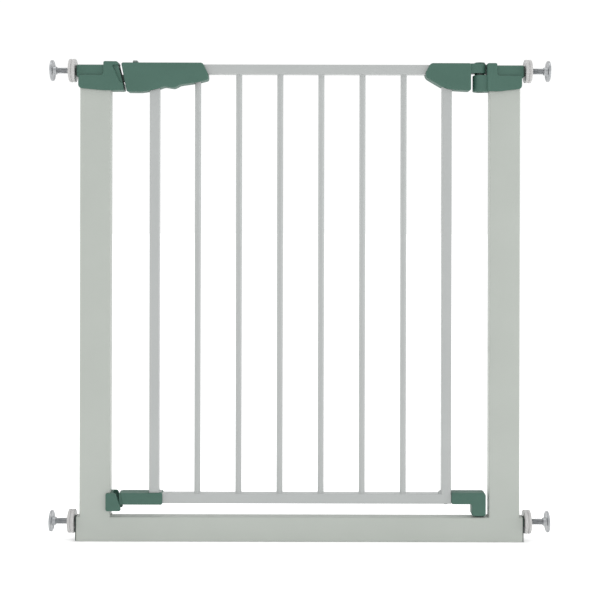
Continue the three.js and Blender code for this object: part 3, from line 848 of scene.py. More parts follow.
def ripple(position: np.ndarray, pitch: float, height: float) -> np.ndarray:
    """The scales of a weld along its run: a rounded saw tooth, height * (1 - |2 frac(s / pitch) - 1|^2)."""
    phase = np.mod(position / pitch, 1.0)
    return height * (1 - np.abs(2 * phase - 1) ** 2)


def weld_line(start: Sequence[float], end: Sequence[float], up: Sequence[float], out: Sequence[float],
              leg: float) -> Surface:
    """A fillet weld in the corner between two faces, rippled along its run and tapered at both ends.

    A point is corner + r (cos a) out + r (sin a) up for a quarter turn, where r is the leg with its
    ripple, drawn down to nothing over the last leg at each end as the square root of the distance.

    Args:
        start: One end of the corner line.
        end: Its other end.
        up: Unit direction that runs up the standing face.
        out: Unit direction that runs out along the lying face.
        leg: Size of the fillet.

    Returns:
        The closed surface.
    """
    start, end, up, out = (np.asarray(v, float) for v in (start, end, up, out))
    length = float(np.linalg.norm(end - start))
    along = np.linspace(0, length, max(8, int(length / (0.25 * MM))))
    taper = np.sqrt(np.clip(np.minimum(along, length - along) / leg, 0.02, 1))
    radius = (leg + ripple(along, 1.1 * MM, 0.18 * leg)) * taper
    angle = np.linspace(0, math.pi / 2, 7)
    path = start + (end - start) * (along / length)[:, None]
    arc = np.cos(angle)[:, None] * out + np.sin(angle)[:, None] * up
    rings = np.concatenate([path[:, None] + radius[:, None, None] * arc[None], path[:, None]], axis=1)
    return Surface().add_grid(rings)


def weld_ring(inner: float, leg: float, foot: float, grows: int, centre: Sequence[float]) -> Surface:
    """A fillet weld round an upright bar: a hollow-cheeked ring whose leg ripples with the angle.

    Args:
        inner: Radius of the bar.
        leg: Size of the fillet.
        foot: Height of the face that the bar meets.
        grows: +1 where the bar rises from that face, -1 where it hangs from it.
        centre: A point on the bar's axis.

    Returns:
        The closed surface.
    """
    angle = np.linspace(0, math.pi / 2, 6)
    cheek = np.stack([inner + leg * (1 - np.sin(angle)), foot + grows * leg * (1 - np.cos(angle))], axis=1)
    profile = np.concatenate([[[inner - 0.3 * MM, foot]], cheek, [[inner - 0.3 * MM, foot + grows * leg]]])

    def scales(radius: np.ndarray, height: np.ndarray, turn: np.ndarray) -> np.ndarray:
        """Ripples that fade out where the weld meets the bar."""
        outside = np.clip((radius - inner) / leg, 0, 1)
        return outside * ripple(turn * inner, 1.3 * MM, 0.25 * leg)

    return turned(profile, Axis.Z, centre, around=48, wave=scales, closed=True)


def tube_over(node: str, axis: Axis, wall: float, corner: float) -> Surface:
    """A smooth tube in a packed tube's place. An upright one starts inside the rounded edge of its rail.

    Args:
        node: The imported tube.
        axis: The axis it runs along, X or Z.
        wall: Wall thickness.
        corner: Reach of its corners' rounding.

    Returns:
        The closed surface.
    """
    low, high = corners(node)
    middle, half = (low + high) / 2, (high - low) / 2
    if axis is Axis.X:
        section, centre = rectangle(half[1], half[2], corner), (0, middle[1], middle[2])
        return tube(section, wall, low[0], high[0], axis, centre)
    section, centre = rectangle(half[0], half[1], corner), (middle[0], middle[1], 0)
    return tube(section, wall, low[2] - corner, high[2], axis, centre)


# ---------------------------------------------------------------- fixed frame


@dataclass
class FixedFrame:
    """The bottom rail and the two posts, with the welds between them."""

    shop: Workshop
    wall: float = 1.5 * MM
    corner: float = 2.8 * MM
    weld_leg: float = 1.8 * MM

    def build(self) -> None:
        """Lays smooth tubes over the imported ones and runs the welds."""
        self.shop.fit(tube_over("bottom_rail", Axis.X, self.wall, self.corner), "bottom_rail")
        for side in Side:
            self.post(side)

    def post(self, side: Side) -> None:
        """One post and the fillets where its narrow faces meet the rail's top.

        Args:
            side: Which post.
        """
        node = f"{side.word}_post"
        self.shop.fit(tube_over(node, Axis.Z, self.wall, self.corner), node)
        low, high = corners(node)
        middle, half = (low + high) / 2, (high - low) / 2
        foot = corners("bottom_rail")[1][2]
        reach = half[1] - self.corner
        for out in (-1, 1):
            x = middle[0] + out * half[0]
            weld = weld_line((x, -reach, foot), (x, reach, foot), (0, 0, 1), (out, 0, 0), self.weld_leg)
            place = "inner" if out == -side.value else "outer"
            self.shop.trim(weld, f"{node}_{place}_weld", "frame", "frame_paint", 80)


# ---------------------------------------------------------------- door


@dataclass
class DoorLeaf:
    """The door's square tubes, its round bars and their welds."""

    shop: Workshop
    wall: float = 1.2 * MM
    corner: float = 2.2 * MM
    bar_count: int = 6
    bar_wall: float = 1.0 * MM
    weld_leg: float = 1.3 * MM
    corner_leg: float = 3.9 * MM

    def build(self) -> None:
        """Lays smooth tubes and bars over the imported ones."""
        runs = {"bottom_rail": Axis.X, "top_rail": Axis.X, "left_stile": Axis.Z, "right_stile": Axis.Z}
        for tube_name, axis in runs.items():
            node = f"door_{tube_name}"
            self.shop.fit(tube_over(node, axis, self.wall, self.corner), node)
        for index in range(self.bar_count):
            self.bar(f"bar_{index + 1}")
        for side in Side:
            self.corner_welds(side)

    def bar(self, node: str) -> None:
        """One round bar with a weld ring at its foot and its head.

        Args:
            node: The bar's node.
        """
        low, high = corners(node)
        middle = (low + high) / 2
        radius = (high[0] - low[0]) / 2
        bore = radius - self.bar_wall
        profile = np.array([(bore, low[2]), (radius, low[2]), (radius, high[2]), (bore, high[2])])
        centre = (middle[0], middle[1], 0)
        self.shop.fit(turned(profile, Axis.Z, centre, around=56, closed=True), node)
        foot, head = corners("door_bottom_rail")[1][2], corners("door_top_rail")[0][2]
        for end, height, grows in (("foot", foot, 1), ("head", head, -1)):
            weld = weld_ring(radius, self.weld_leg, height, grows, centre)
            self.shop.trim(weld, f"{node}_{end}_weld", "door", "door_paint", 60)

    def corner_welds(self, side: Side) -> None:
        """The fillets inside the door's lower corners, between stile and bottom rail.

        Args:
            side: Which corner.
        """
        low, high = corners(f"door_{side.word}_stile")
        foot = corners("door_bottom_rail")[1][2]
        x = high[0] if side is Side.LATCH else low[0]
        reach = (high[1] - low[1]) / 2 - self.corner
        out = (-side.value, 0, 0)
        weld = weld_line((x, -reach, foot), (x, reach, foot), (0, 0, 1), out, self.corner_leg)
        self.shop.trim(weld, f"door_{side.word}_corner_weld", "door", "door_paint", 80)


# ---------------------------------------------------------------- adjusters


@dataclass
class Adjuster:
    """One wall adjuster: a guide ring, a ribbed hand wheel, a threaded spindle and a pressed wall pad."""

    shop: Workshop
    level: Level
    side: Side
    lead: float = 1.5 * MM
    thread_depth: float = 0.9 * MM
    ribs: int = 40
    rib_height: float = 0.45 * MM
    rib_fade: float = 1.2 * MM
    bore: float = 5.3 * MM
    runout: float = 1.2 * MM
    guide_bore: float = 5.6 * MM
    guide_sleeve: float = 7.5 * MM
    guide_flange: float = 3.6 * MM

    @property
    def name(self) -> str:
        """The word that starts this adjuster's node names."""
        return f"{self.level.value}_{self.side.word}"

    def along(self, node: str) -> tuple[float, float]:
        """How far a node's two ends lie from the gate's middle, nearest first."""
        low, high = corners(node)
        return tuple(sorted((abs(low[0]), abs(high[0]))))

    def spun(self, profile: np.ndarray, around: int = 72, wave: Callable | None = None,
             closed: bool = False) -> Surface:
        """Turns a profile of (radius, distance from the gate's middle) about this adjuster's axis.

        Args:
            profile: The profile's points.
            around: How many steps round.
            wave: A change of radius over the surface, if any.
            closed: Whether the profile closes on itself.

        Returns:
            The turned surface.
        """
        low, high = corners(f"{self.name}_spindle")
        outward = profile * np.array([1.0, self.side.value])
        centre = (0, (low[1] + high[1]) / 2, (low[2] + high[2]) / 2)
        return turned(outward, Axis.X, centre, around, wave, closed)

    def build(self) -> None:
        """Makes all of the adjuster's surfaces."""
        self.wheel()
        self.spindle()
        self.pad()
        if self.level is Level.UPPER:
            self.guide()
        else:
            self.shop.keep(f"{self.name}_spindle_guide")

    def wheel(self) -> None:
        """The hand wheel: a ribbed rim with a groove round its middle, and a dished outer face."""
        node = f"{self.name}_wheel"
        near, far = self.along(node)
        low, high = corners(node)
        rim = (high[2] - low[2]) / 2
        bore = self.bore
        groove = (near + far) / 2
        profile = rounded_profile([
            (bore, near, 0.2 * MM),
            (rim - 3.4 * MM, near, 0.3 * MM), (rim - 2.8 * MM, near + 0.6 * MM, 0.3 * MM),
            (rim - 1.4 * MM, near + 0.6 * MM, 0.3 * MM), (rim - 1.0 * MM, near, 0.3 * MM),
            (rim - 0.5 * MM, near, 0.3 * MM), (rim, near + 0.5 * MM, 0.3 * MM),
            (rim, groove - 0.9 * MM, 0.2 * MM), (rim - 1.3 * MM, groove - 0.4 * MM, 0.2 * MM),
            (rim - 1.3 * MM, groove + 0.4 * MM, 0.2 * MM), (rim, groove + 0.9 * MM, 0.2 * MM),
            (rim, far - 0.5 * MM, 0.3 * MM), (rim - 0.5 * MM, far, 0.3 * MM),
            (rim - 3.6 * MM, far, 0.5 * MM), (rim - 4.4 * MM, far - 1.6 * MM, 0.5 * MM),
            (10.5 * MM, far - 2.4 * MM, 0.8 * MM), (9.5 * MM, far - 0.4 * MM, 0.6 * MM),
            (bore, far, 0.3 * MM),
        ], steps=4)

        def ribbing(radius: np.ndarray, height: np.ndarray, turn: np.ndarray) -> np.ndarray:
            """Rounded ribs on the rim: minus the rib height times |sin|, fading out inside the rim."""
            share = np.clip((radius - (rim - self.rib_fade)) / self.rib_fade, 0, 1)
            return -self.rib_height * share * np.abs(np.sin(turn * self.ribs / 2)) ** 1.5

        self.shop.fit(self.spun(profile, self.ribs * 8, ribbing, True), node, sharp_above=50)

    def spindle(self) -> None:
        """The spindle: its radius falls by the thread depth as a triangle wave of x / lead - a / turn."""
        node = f"{self.name}_spindle"
        near, far = self.along(node)
        low, high = corners(node)
        crest = (high[2] - low[2]) / 2
        steps = int((far - near) / self.lead * 6)
        height = np.linspace(near, far, steps)
        runout = np.clip(np.minimum(height - near, far - height) / self.runout, 0, 1)
        profile = np.stack([crest - 1.0 * MM * (1 - runout), height], axis=1)
        profile = np.concatenate([[(0.3 * MM, near)], profile, [(0.3 * MM, far)]])

        def thread(radius: np.ndarray, along: np.ndarray, turn: np.ndarray) -> np.ndarray:
            """The thread's groove, left out on the two small end faces.

            Args:
                radius: Each point's radius.
                along: Each point's place along the axis.
                turn: Each point's angle.

            Returns:
                The change of radius at each point.
            """
            phase = np.mod(np.abs(along) / self.lead - self.side.value * turn / TURN, 1.0)
            tooth = np.clip(1.25 * np.abs(2 * phase - 1) - 0.12, 0, 1)
            return np.where(radius > 2 * MM, -self.thread_depth * tooth, 0.0)

        self.shop.fit(self.spun(profile, 30, thread), node, sharp_above=80)

    def pad(self) -> None:
        """The wall pad: a pressed zinc disc with a rolled rim, a shallow cone and a collar."""
        node = f"{self.name}_wall_pad"
        near, far = self.along(node)
        low, high = corners(node)
        rim = (high[2] - low[2]) / 2
        bore = self.bore
        profile = rounded_profile([
            (bore, near, 0.2 * MM), (6.4 * MM, near, 0.5 * MM), (7.0 * MM, far - 3.4 * MM, 1.4 * MM),
            (rim - 4.4 * MM, far - 2.4 * MM, 1.6 * MM), (rim - 2.0 * MM, far - 4.0 * MM, 0.9 * MM),
            (rim, far - 3.4 * MM, 0.9 * MM), (rim, far, 0.7 * MM),
            (0.3 * MM, far, 0.1 * MM), (0.3 * MM, far - 2.2 * MM, 0.1 * MM), (bore, far - 2.2 * MM, 0.1 * MM),
        ], steps=6)
        self.shop.fit(self.spun(profile, 96, None, True), node, sharp_above=45)

    def guide(self) -> None:
        """The flanged guide in an upper housing's end."""
        node = f"{self.name}_spindle_guide"
        near, far = self.along(node)
        low, high = corners(node)
        flange = (high[2] - low[2]) / 2
        bore, sleeve = self.guide_bore, self.guide_sleeve
        step = far - self.guide_flange
        profile = rounded_profile([
            (bore, near, 0.2 * MM), (sleeve, near, 0.4 * MM), (sleeve, step, 0.2 * MM),
            (flange, step, 0.5 * MM), (flange, far, 0.5 * MM), (bore, far, 0.4 * MM),
        ], steps=4)
        self.shop.fit(self.spun(profile, 64, None, True), node, sharp_above=45)


# ---------------------------------------------------------------- moulded housings


def outline(corners_mm: Sequence[tuple[float, ...]], anchor: tuple[float, float],
            steps: int = 7) -> np.ndarray:
    """A moulding's outline, in millimetres from a corner of its packed box, rounded by each trim."""
    full = np.array([(*corner, 0.0)[:3] for corner in corners_mm]) * MM
    return rounded_profile([(anchor[0] + u, anchor[1] + v, trim) for u, v, trim in full], steps)


def curve_through(points: np.ndarray, steps: int = 8) -> np.ndarray:
    """A smooth line through points: on each span, the cubic whose ends slope along the neighbours' chord.

    Args:
        points: The points to pass through.
        steps: How many parts each span is cut into.

    Returns:
        The line's points.
    """
    slope = np.gradient(points, axis=0)
    t = np.linspace(0, 1, steps, endpoint=False)[None, :, None]
    a, b, c, d = points[:-1, None], points[1:, None], slope[:-1, None], slope[1:, None]
    spans = ((2 * t**3 - 3 * t**2 + 1) * a + (t**3 - 2 * t**2 + t) * c
             + (3 * t**2 - 2 * t**3) * b + (t**3 - t**2) * d)
    return np.concatenate([spans.reshape(-1, 2), points[-1:]])


@dataclass
class Moulding:
    """A hollow plastic moulding: a cheek in front, a cheek behind and walls round the rim."""

    loop: np.ndarray
    half_depth: float
    core: float
    wall: float = 2.2 * MM
    edge: float = 1.9 * MM
    windows: Sequence[Window] = ()

    def half(self, sign: int, seam: float = 0.0, surface: Surface | None = None) -> Surface:
        """The half on one side of the middle plane.

        Args:
            sign: -1 for the front half, 1 for the back half.
            seam: How far the half stops short of the middle plane.
            surface: Surface to add to; a new one if left out.

        Returns:
            The surface with the half added.
        """
        made = surface or Surface()
        spans = sorted((sign * self.half_depth, sign * self.core))
        rounds = (self.edge, 0.0) if sign < 0 else (0.0, self.edge)
        plate(self.loop, *spans, *rounds, made, 7)
        core = sorted((sign * self.core, sign * seam))
        for strip in rim_walls(self.loop, self.wall, self.windows):
            plate(strip, *core, 0.0, 0.0, made)
        return made

    def whole(self) -> Surface:
        """Both halves in one surface."""
        return self.half(1, 0.0, self.half(-1))


@dataclass
class Housing:
    """What the moulded housings share: their plastic shell sizes and how their screws look."""

    shop: Workshop
    core: float = 10.3 * MM
    head_radius: float = 3.5 * MM
    head_height: float = 2.0 * MM
    head_dome: float = 0.75 * MM
    head_lip: float = 1.05 * MM
    shank_radius: float = 1.6 * MM
    slot_half_width: float = 0.75 * MM
    slot_depth: float = 1.1 * MM
    slot_reach: float = 2.1 * MM
    barrel_length: float = 50.5 * MM
    barrel_half_depth: float = 11.0 * MM
    barrel_half_height: float = 10.3 * MM
    barrel_corner: float = 4.0 * MM
    barrel_drop: float = 1.3 * MM
    spindle_room: float = 7.7 * MM
    doorway_rise: float = 8.0 * MM

    def screw(self, node: str, axis: Axis, head_up: bool = True) -> None:
        """A pan-head screw with a crossed recess: the head's height is a dome less the recess's depth.

        The recess is as deep as the smaller of two ramps: one across the nearer arm of the cross, one
        along it.

        Args:
            node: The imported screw.
            axis: The axis it lies along.
            head_up: Whether its head is at the high end.
        """
        low, high = corners(node)
        along = {Axis.X: 0, Axis.Y: 1, Axis.Z: 2}[axis]
        sign = 1 if head_up else -1
        top, tip = (high[along], low[along]) if head_up else (low[along], high[along])
        centre = (low + high) / 2
        centre[along] = 0
        angle = np.linspace(0, TURN, 48, endpoint=False)[None, :]
        reach = np.linspace(0.02, 1, 18)[:, None] * (self.head_radius - 0.25 * MM)
        nearer = np.minimum(np.abs(reach * np.cos(angle)), np.abs(reach * np.sin(angle)))
        across = np.clip((self.slot_half_width - nearer) / (0.3 * MM), 0, 1)
        along_arm = np.clip((self.slot_reach - reach) / (0.5 * MM), 0, 1)
        recess = self.slot_depth * np.minimum(across, along_arm)
        dome = self.head_dome * (reach / self.head_radius) ** 2
        face = top - sign * (dome + recess)
        lip, under = top - sign * self.head_lip, top - sign * self.head_height
        skirt = np.array([(self.head_radius, lip), (self.head_radius, under), (self.shank_radius, under),
                          (self.shank_radius, tip + sign * 1.0 * MM), (0.3 * MM, tip)])
        radius = np.concatenate([reach + 0 * angle, skirt[:, :1] + 0 * angle])
        place = np.concatenate([face, skirt[:, 1:] + 0 * angle])
        rings = placed(radius * np.cos(angle), radius * np.sin(angle), place, axis, centre)
        self.shop.fit(Surface().add_grid(rings), node, sharp_above=28)

    def spindle_way(self, side: Side, wall_x: float) -> Window:
        """The opening that a housing's inner wall leaves for an upper spindle.

        Args:
            side: The side of the gate.
            wall_x: Where the wall stands along X.

        Returns:
            The opening, a little wider than the thread and well past the wall on both sides.
        """
        low, high = corners(f"upper_{side.word}_spindle")
        level, reach = (low[2] + high[2]) / 2, self.spindle_room
        return wall_x - reach, wall_x + reach, level - reach, level + reach

    def barrel(self, node: str, side: Side, surface: Surface) -> None:
        """Adds the rounded barrel that carries an upper spindle, with its bore, to a housing's surface.

        Args:
            node: The housing's node.
            side: Which side of the gate it is on.
            surface: The surface it is added to.
        """
        low, high = corners(node)
        outer = max(abs(low[0]), abs(high[0]))
        spindle_low, spindle_high = corners(f"upper_{side.word}_spindle")
        level = (spindle_low[2] + spindle_high[2]) / 2
        ends = sorted((side.value * outer, side.value * (outer - self.barrel_length)))
        section = rectangle(self.barrel_half_depth, self.barrel_half_height, self.barrel_corner, 9)
        drop = self.barrel_drop
        bored(section, self.spindle_room, (0, drop), *ends, 0.6 * MM, Axis.X, (0, 0, level - drop), surface)

    def doorway(self, post: str, floor: float) -> Window:
        """The opening in a housing's floor through which a post comes up.

        Args:
            post: The post's node.
            floor: The housing's lowest point.

        Returns:
            The opening, a little wider than the post and well over the floor's wall.
        """
        low, high = corners(post)
        return low[0] - JOINT_GAP, high[0] + JOINT_GAP, 0, floor + self.doorway_rise


@dataclass
class Keeper(Housing):
    """The latch post's housing with its mouth, and the dark strike in it."""

    lining_step: float = 3.6 * MM
    lining_edge: float = 1.5 * MM

    def build(self) -> None:
        """Builds the housing, and keeps the strike."""
        node = "keeper_housing"
        low, high = corners(node)
        anchor = (high[0], low[2])
        loop = outline([
            (0.0, 0.2, 3.4), (-1.7, 12.6, 2.2), (-6.4, 13.4, 2.2), (-19.0, 41.3, 3.0), (-8.6, 41.3, 3.6),
            (-10.6, 47.3, 2.2), (-33.3, 47.6, 3), (-33.3, 25.3, 4.5), (-74.0, 25.3, 3), (-74.0, 4.0, 6),
            (-34.0, 0.2, 6),
        ], anchor)
        doorway = self.doorway("left_post", low[2])
        mouth = (anchor[0] - 21 * MM, 0, low[2] + 12.5 * MM, low[2] + 42.5 * MM)
        way = self.spindle_way(Side.LATCH, anchor[0] - 33.3 * MM)
        shell = Moulding(loop, high[1], self.core, windows=[doorway, mouth, way]).whole()
        self.barrel(node, Side.LATCH, shell)
        lining = outline([(-1.4, 10.0, 1), (-10.2, 44.5, 1), (-24.0, 44.5, 1), (-12.0, 10.0, 1)], anchor)
        reach = high[1] - self.lining_step
        plate(lining, -reach, -self.core - 0.1 * MM, self.lining_edge, 0.0, shell)
        plate(lining, self.core + 0.1 * MM, reach, 0.0, self.lining_edge, shell)
        self.shop.fit(shell, node, sharp_above=40)
        self.shop.keep("strike_insert")
        self.screw("keeper_screw", Axis.Y)


@dataclass
class HingeBlock(Housing):
    """The hinge post's housing with the round neck that the upper pin turns in."""

    neck_radius: float = 11.5 * MM
    neck_tail: float = 14.0 * MM
    neck_edge: float = 1.2 * MM
    bush_room: float = 6.5 * MM
    flange_height: float = 3.0 * MM

    def build(self) -> None:
        """Builds the housing with its neck."""
        node = "hinge_block"
        low, high = corners(node)
        anchor = (high[0], low[2])
        loop = outline([
            (-59.4, 0.5, 3.2), (-41.0, 0.1, 6), (-3.0, 4.5, 6), (-3.0, 25.8, 3), (-43.2, 25.8, 4.5),
            (-43.2, 46.1, 3), (-59.4, 46.1, 3.2),
        ], anchor)
        doorway = self.doorway("right_post", low[2])
        way = self.spindle_way(Side.HINGE, anchor[0] - 43.2 * MM)
        shell = Moulding(loop, high[1], self.core, windows=[doorway, way]).whole()
        self.barrel(node, Side.HINGE, shell)
        pin_low, pin_high = corners("upper_hinge_pin")
        pivot = (pin_low[0] + pin_high[0]) / 2
        turn = np.linspace(math.pi / 2, 3 * math.pi / 2, 40)
        neck = np.concatenate([
            self.neck_radius * np.stack([np.cos(turn), np.sin(turn)], axis=1),
            [(self.neck_tail, -self.neck_radius), (self.neck_tail, self.neck_radius)],
        ])
        neck = resampled(neck, 1.0 * MM)
        ends = low[2] + 0.1 * MM, corners("upper_hinge_bush")[1][2] - self.flange_height
        bored(neck, self.bush_room, (0, 0), *ends, self.neck_edge, Axis.Z, (pivot, 0, 0), shell)
        self.shop.fit(shell, node, sharp_above=40)
        self.screw("hinge_block_screw", Axis.Y)


@dataclass
class LatchHandle(Housing):
    """The two-part handle on the door's free corner, its finger grip and its screws."""

    core: float = 8.3 * MM

    def build(self) -> None:
        """Builds the front and back shells."""
        low, high = corners("handle_front_shell")
        anchor = np.array([low[0], low[2]])
        grip = MM * np.array([
            (32.0, 0.0), (45.0, 1.9), (60.0, 5.2), (70.4, 8.3), (84.6, 6.7), (91.2, 9.0), (97.0, 11.6),
            (114.9, 14.2), (128.2, 16.5), (135.7, 18.3),
        ])
        width, height = high[0] - low[0], high[2] - low[2]
        body = rounded_profile([
            (135.7 * MM, 18.3 * MM, 0), (141.4 * MM, 19.6 * MM, 4 * MM), (width, 27.6 * MM, 5 * MM),
            (width - 9.5 * MM, height, 4 * MM), (0.0, height, 4 * MM), (9.2 * MM, 0.0, 4 * MM),
            (32 * MM, 0, 0),
        ], 8, closed=False)
        loop = np.concatenate([curve_through(grip)[1:-1], body]) + anchor
        stile_low, stile_high = corners("door_left_stile")
        bar_low, bar_high = corners("bar_1")
        rail_low, rail_high = corners("door_top_rail")
        bolt_low, bolt_high = corners("latch_bolt")
        button_low, button_high = corners("thumb_button")
        gap = TUBE_GAP
        floor = low[2] + 25 * MM
        windows = [
            (stile_low[0] - gap, stile_high[0] + gap, 0, floor),
            (bar_low[0] - gap, bar_high[0] + gap, 0, floor),
            (high[0] - 20 * MM, 0, rail_low[2] - gap, rail_high[2] + gap),
            (-1, low[0] + 20 * MM, bolt_low[2] - gap, bolt_high[2] + gap),
            (button_low[0] - gap, button_high[0] + 10 * MM + gap, high[2] - 5 * MM, 1),
        ]
        shell = Moulding(loop, -low[1], self.core, edge=2.2 * MM, windows=windows)
        seam = SHELL_SEAM
        self.shop.fit(shell.half(-1, seam), "handle_front_shell", sharp_above=40)
        self.shop.fit(shell.half(1, seam), "handle_back_shell", sharp_above=40)
        for index in (1, 2):
            self.screw(f"handle_screw_{index}", Axis.Y)


@dataclass
class HingeArm(Housing):
    """The two-part arm over the hinge pin, with its pin cap."""

    core: float = 8.3 * MM
    arm_half_depth: float = 10.0 * MM
    eye_floor: float = 29.1 * MM
    eye_back: float = 18.0 * MM
    eye_drop: float = 0.2 * MM
    pin_room: float = 4.3 * MM

    def build(self) -> None:
        """Builds the front and back shells and the cap."""
        low, high = corners("hinge_arm_front_shell")
        anchor = (low[0], low[2])
        height = (high[2] - low[2]) / MM
        loop = outline([
            (0.0, 28.0, 4.0), (3.0, 20.6, 4.0), (30.5, 4.5, 8), (44.5, 1.6, 6), (74.5, 0.0, 4),
            (74.5, height, 3.2), (9.0, height, 4.5),
        ], anchor)
        stile_low, stile_high = corners("door_right_stile")
        rail_low, rail_high = corners("door_top_rail")
        gap = TUBE_GAP
        windows = [
            (stile_low[0] - gap, stile_high[0] + gap, 0, low[2] + 20 * MM),
            (0, low[0] + 20 * MM, rail_low[2] - gap, rail_high[2] + gap),
        ]
        shell = Moulding(loop, -low[1], self.core, edge=2.2 * MM, windows=windows)
        seam = SHELL_SEAM
        pin_low, pin_high = corners("upper_hinge_pin")
        pivot = (pin_low[0] + pin_high[0]) / 2
        bottom = low[2] + self.eye_floor
        turn = np.linspace(0, math.pi / 2, 24)
        for sign, node in ((-1, "hinge_arm_front_shell"), (1, "hinge_arm_back_shell")):
            surface = shell.half(sign, seam)
            arc = self.arm_half_depth * np.stack([np.cos(turn), sign * np.sin(turn)], axis=1)
            mouth = self.pin_room * np.stack([np.cos(turn), sign * np.sin(turn)], axis=1)
            back = np.array([(-self.eye_back, self.arm_half_depth), (-self.eye_back, seam),
                             (-self.pin_room, seam)]) * (1, sign)
            inner = np.concatenate([mouth[:-1], mouth[::-1] * (-1, 1)])[::-1]
            half = np.concatenate([arc, back, inner]) + (pivot, 0)
            half = half if sign > 0 else half[::-1]
            plate(half, bottom, high[2] - self.eye_drop, 0.4 * MM, 0.9 * MM, surface, 4, Axis.Z)
            self.shop.fit(surface, node, sharp_above=40)
        for index in (1, 2):
            self.screw(f"hinge_arm_screw_{index}", Axis.Y)
        self.cap(pivot)

    def cap(self, pivot: float) -> None:
        """The domed cap over the upper pin.

        Args:
            pivot: The hinge line's x.
        """
        low, high = corners("hinge_pin_cap")
        radius = (high[0] - low[0]) / 2
        profile = rounded_profile([
            (0.2 * MM, low[2], 0), (radius, low[2], 0.3 * MM), (radius, low[2] + 1.5 * MM, 0.8 * MM),
            (radius - 2.2 * MM, high[2] - 0.6 * MM, 1.4 * MM), (0.2 * MM, high[2], 0),
        ], 6, closed=False)
        self.shop.fit(turned(profile, Axis.Z, (pivot, 0, 0), 64), "hinge_pin_cap", sharp_above=50)


@dataclass
class LowerFittings(Housing):
    """The catch at the latch post's foot, the latch bar above it and the hinge foot."""

    wing_edge: float = 1.6 * MM
    wing_inner_edge: float = 0.3 * MM
    bar_core: float = 8.35 * MM
    bar_wall: float = 1.1 * MM
    bar_edge: float = 1.0 * MM
    nose_half_depth: float = 9.6 * MM
    elbow_edge: float = 1.7 * MM
    spigot_half: float = 6.4 * MM
    small_edge: float = 0.5 * MM

    def build(self) -> None:
        """Builds the three fittings and their screws."""
        self.catch()
        self.latch_bar()
        self.foot()
        self.screw("lower_catch_screw", Axis.X)
        self.screw("hinge_foot_screw", Axis.Z, head_up=False)

    def catch(self) -> None:
        """Two wings joined by a web that hugs the post."""
        low, high = corners("lower_catch")
        height, width = (high[2] - low[2]) / MM, (high[0] - low[0]) / MM
        wing = outline([(0, 0, 3), (width, 0, 5), (width - 9, height, 4), (0, height, 3)], (low[0], low[2]))
        web = outline([(7, 0, 0.5), (10, 0, 0.5), (10, height, 0.5), (7, height, 0.5)], (low[0], low[2]), 3)
        surface = plate(wing, low[1], -self.core, self.wing_edge, self.wing_inner_edge)
        plate(wing, self.core, high[1], self.wing_inner_edge, self.wing_edge, surface)
        plate(web, -self.core, self.core, 0.0, 0.0, surface)
        self.shop.fit(surface, "lower_catch", sharp_above=40)

    def latch_bar(self) -> None:
        """A sleeve round the door's lower corner, with a solid nose."""
        low, high = corners("lower_latch_bar")
        height, width = (high[2] - low[2]) / MM, (high[0] - low[0]) / MM
        anchor = (low[0], low[2])
        loop = outline([(7, 0, 1.6), (width, 0, 3), (width, height, 3.5), (3, height, 1.6)], anchor)
        nose = outline([(0, 0.2, 2.0), (9, 0.2, 0), (9, height - 0.2, 0), (0, height - 0.2, 2)], anchor)
        stile_low, stile_high = corners("door_left_stile")
        gap = TUBE_GAP
        windows = [(stile_low[0] - gap, stile_high[0] + gap, low[2] + 12 * MM, 1),
                   (high[0] - 4 * MM, 0, low[2] + 2 * MM, high[2] - 2 * MM)]
        sleeve = Moulding(loop, high[1], self.bar_core, self.bar_wall, self.bar_edge, windows)
        surface = sleeve.whole()
        plate(nose, -self.nose_half_depth, self.nose_half_depth, self.small_edge, self.small_edge, surface)
        self.shop.fit(surface, "lower_latch_bar", sharp_above=40)

    def foot(self) -> None:
        """The elbow that carries the lower pin, with the spigot that enters the door's bottom rail."""
        low, high = corners("lower_hinge_foot")
        rail_low, rail_high = corners("door_bottom_rail")
        left = rail_high[0] + 0.3 * MM
        width, height = (high[0] - left) / MM, (high[2] - low[2]) / MM
        elbow = outline([
            (0, 19, 2.6), (width - 22.5, 19, 3), (width - 22.5, 0, 3), (width, 0, 3.4), (width, height, 5),
            (0, height, 2.6),
        ], (left, low[2]))
        surface = plate(elbow, low[1], high[1], self.elbow_edge, self.elbow_edge, None, 7)
        middle = (rail_low[2] + rail_high[2]) / 2
        root = left + 1 * MM
        half = self.spigot_half
        spigot = rectangle((root - low[0]) / 2, half, 1.0 * MM) + ((root + low[0]) / 2, middle)
        plate(spigot, -half, half, self.small_edge, self.small_edge, surface)
        self.shop.fit(surface, "lower_hinge_foot", sharp_above=40)


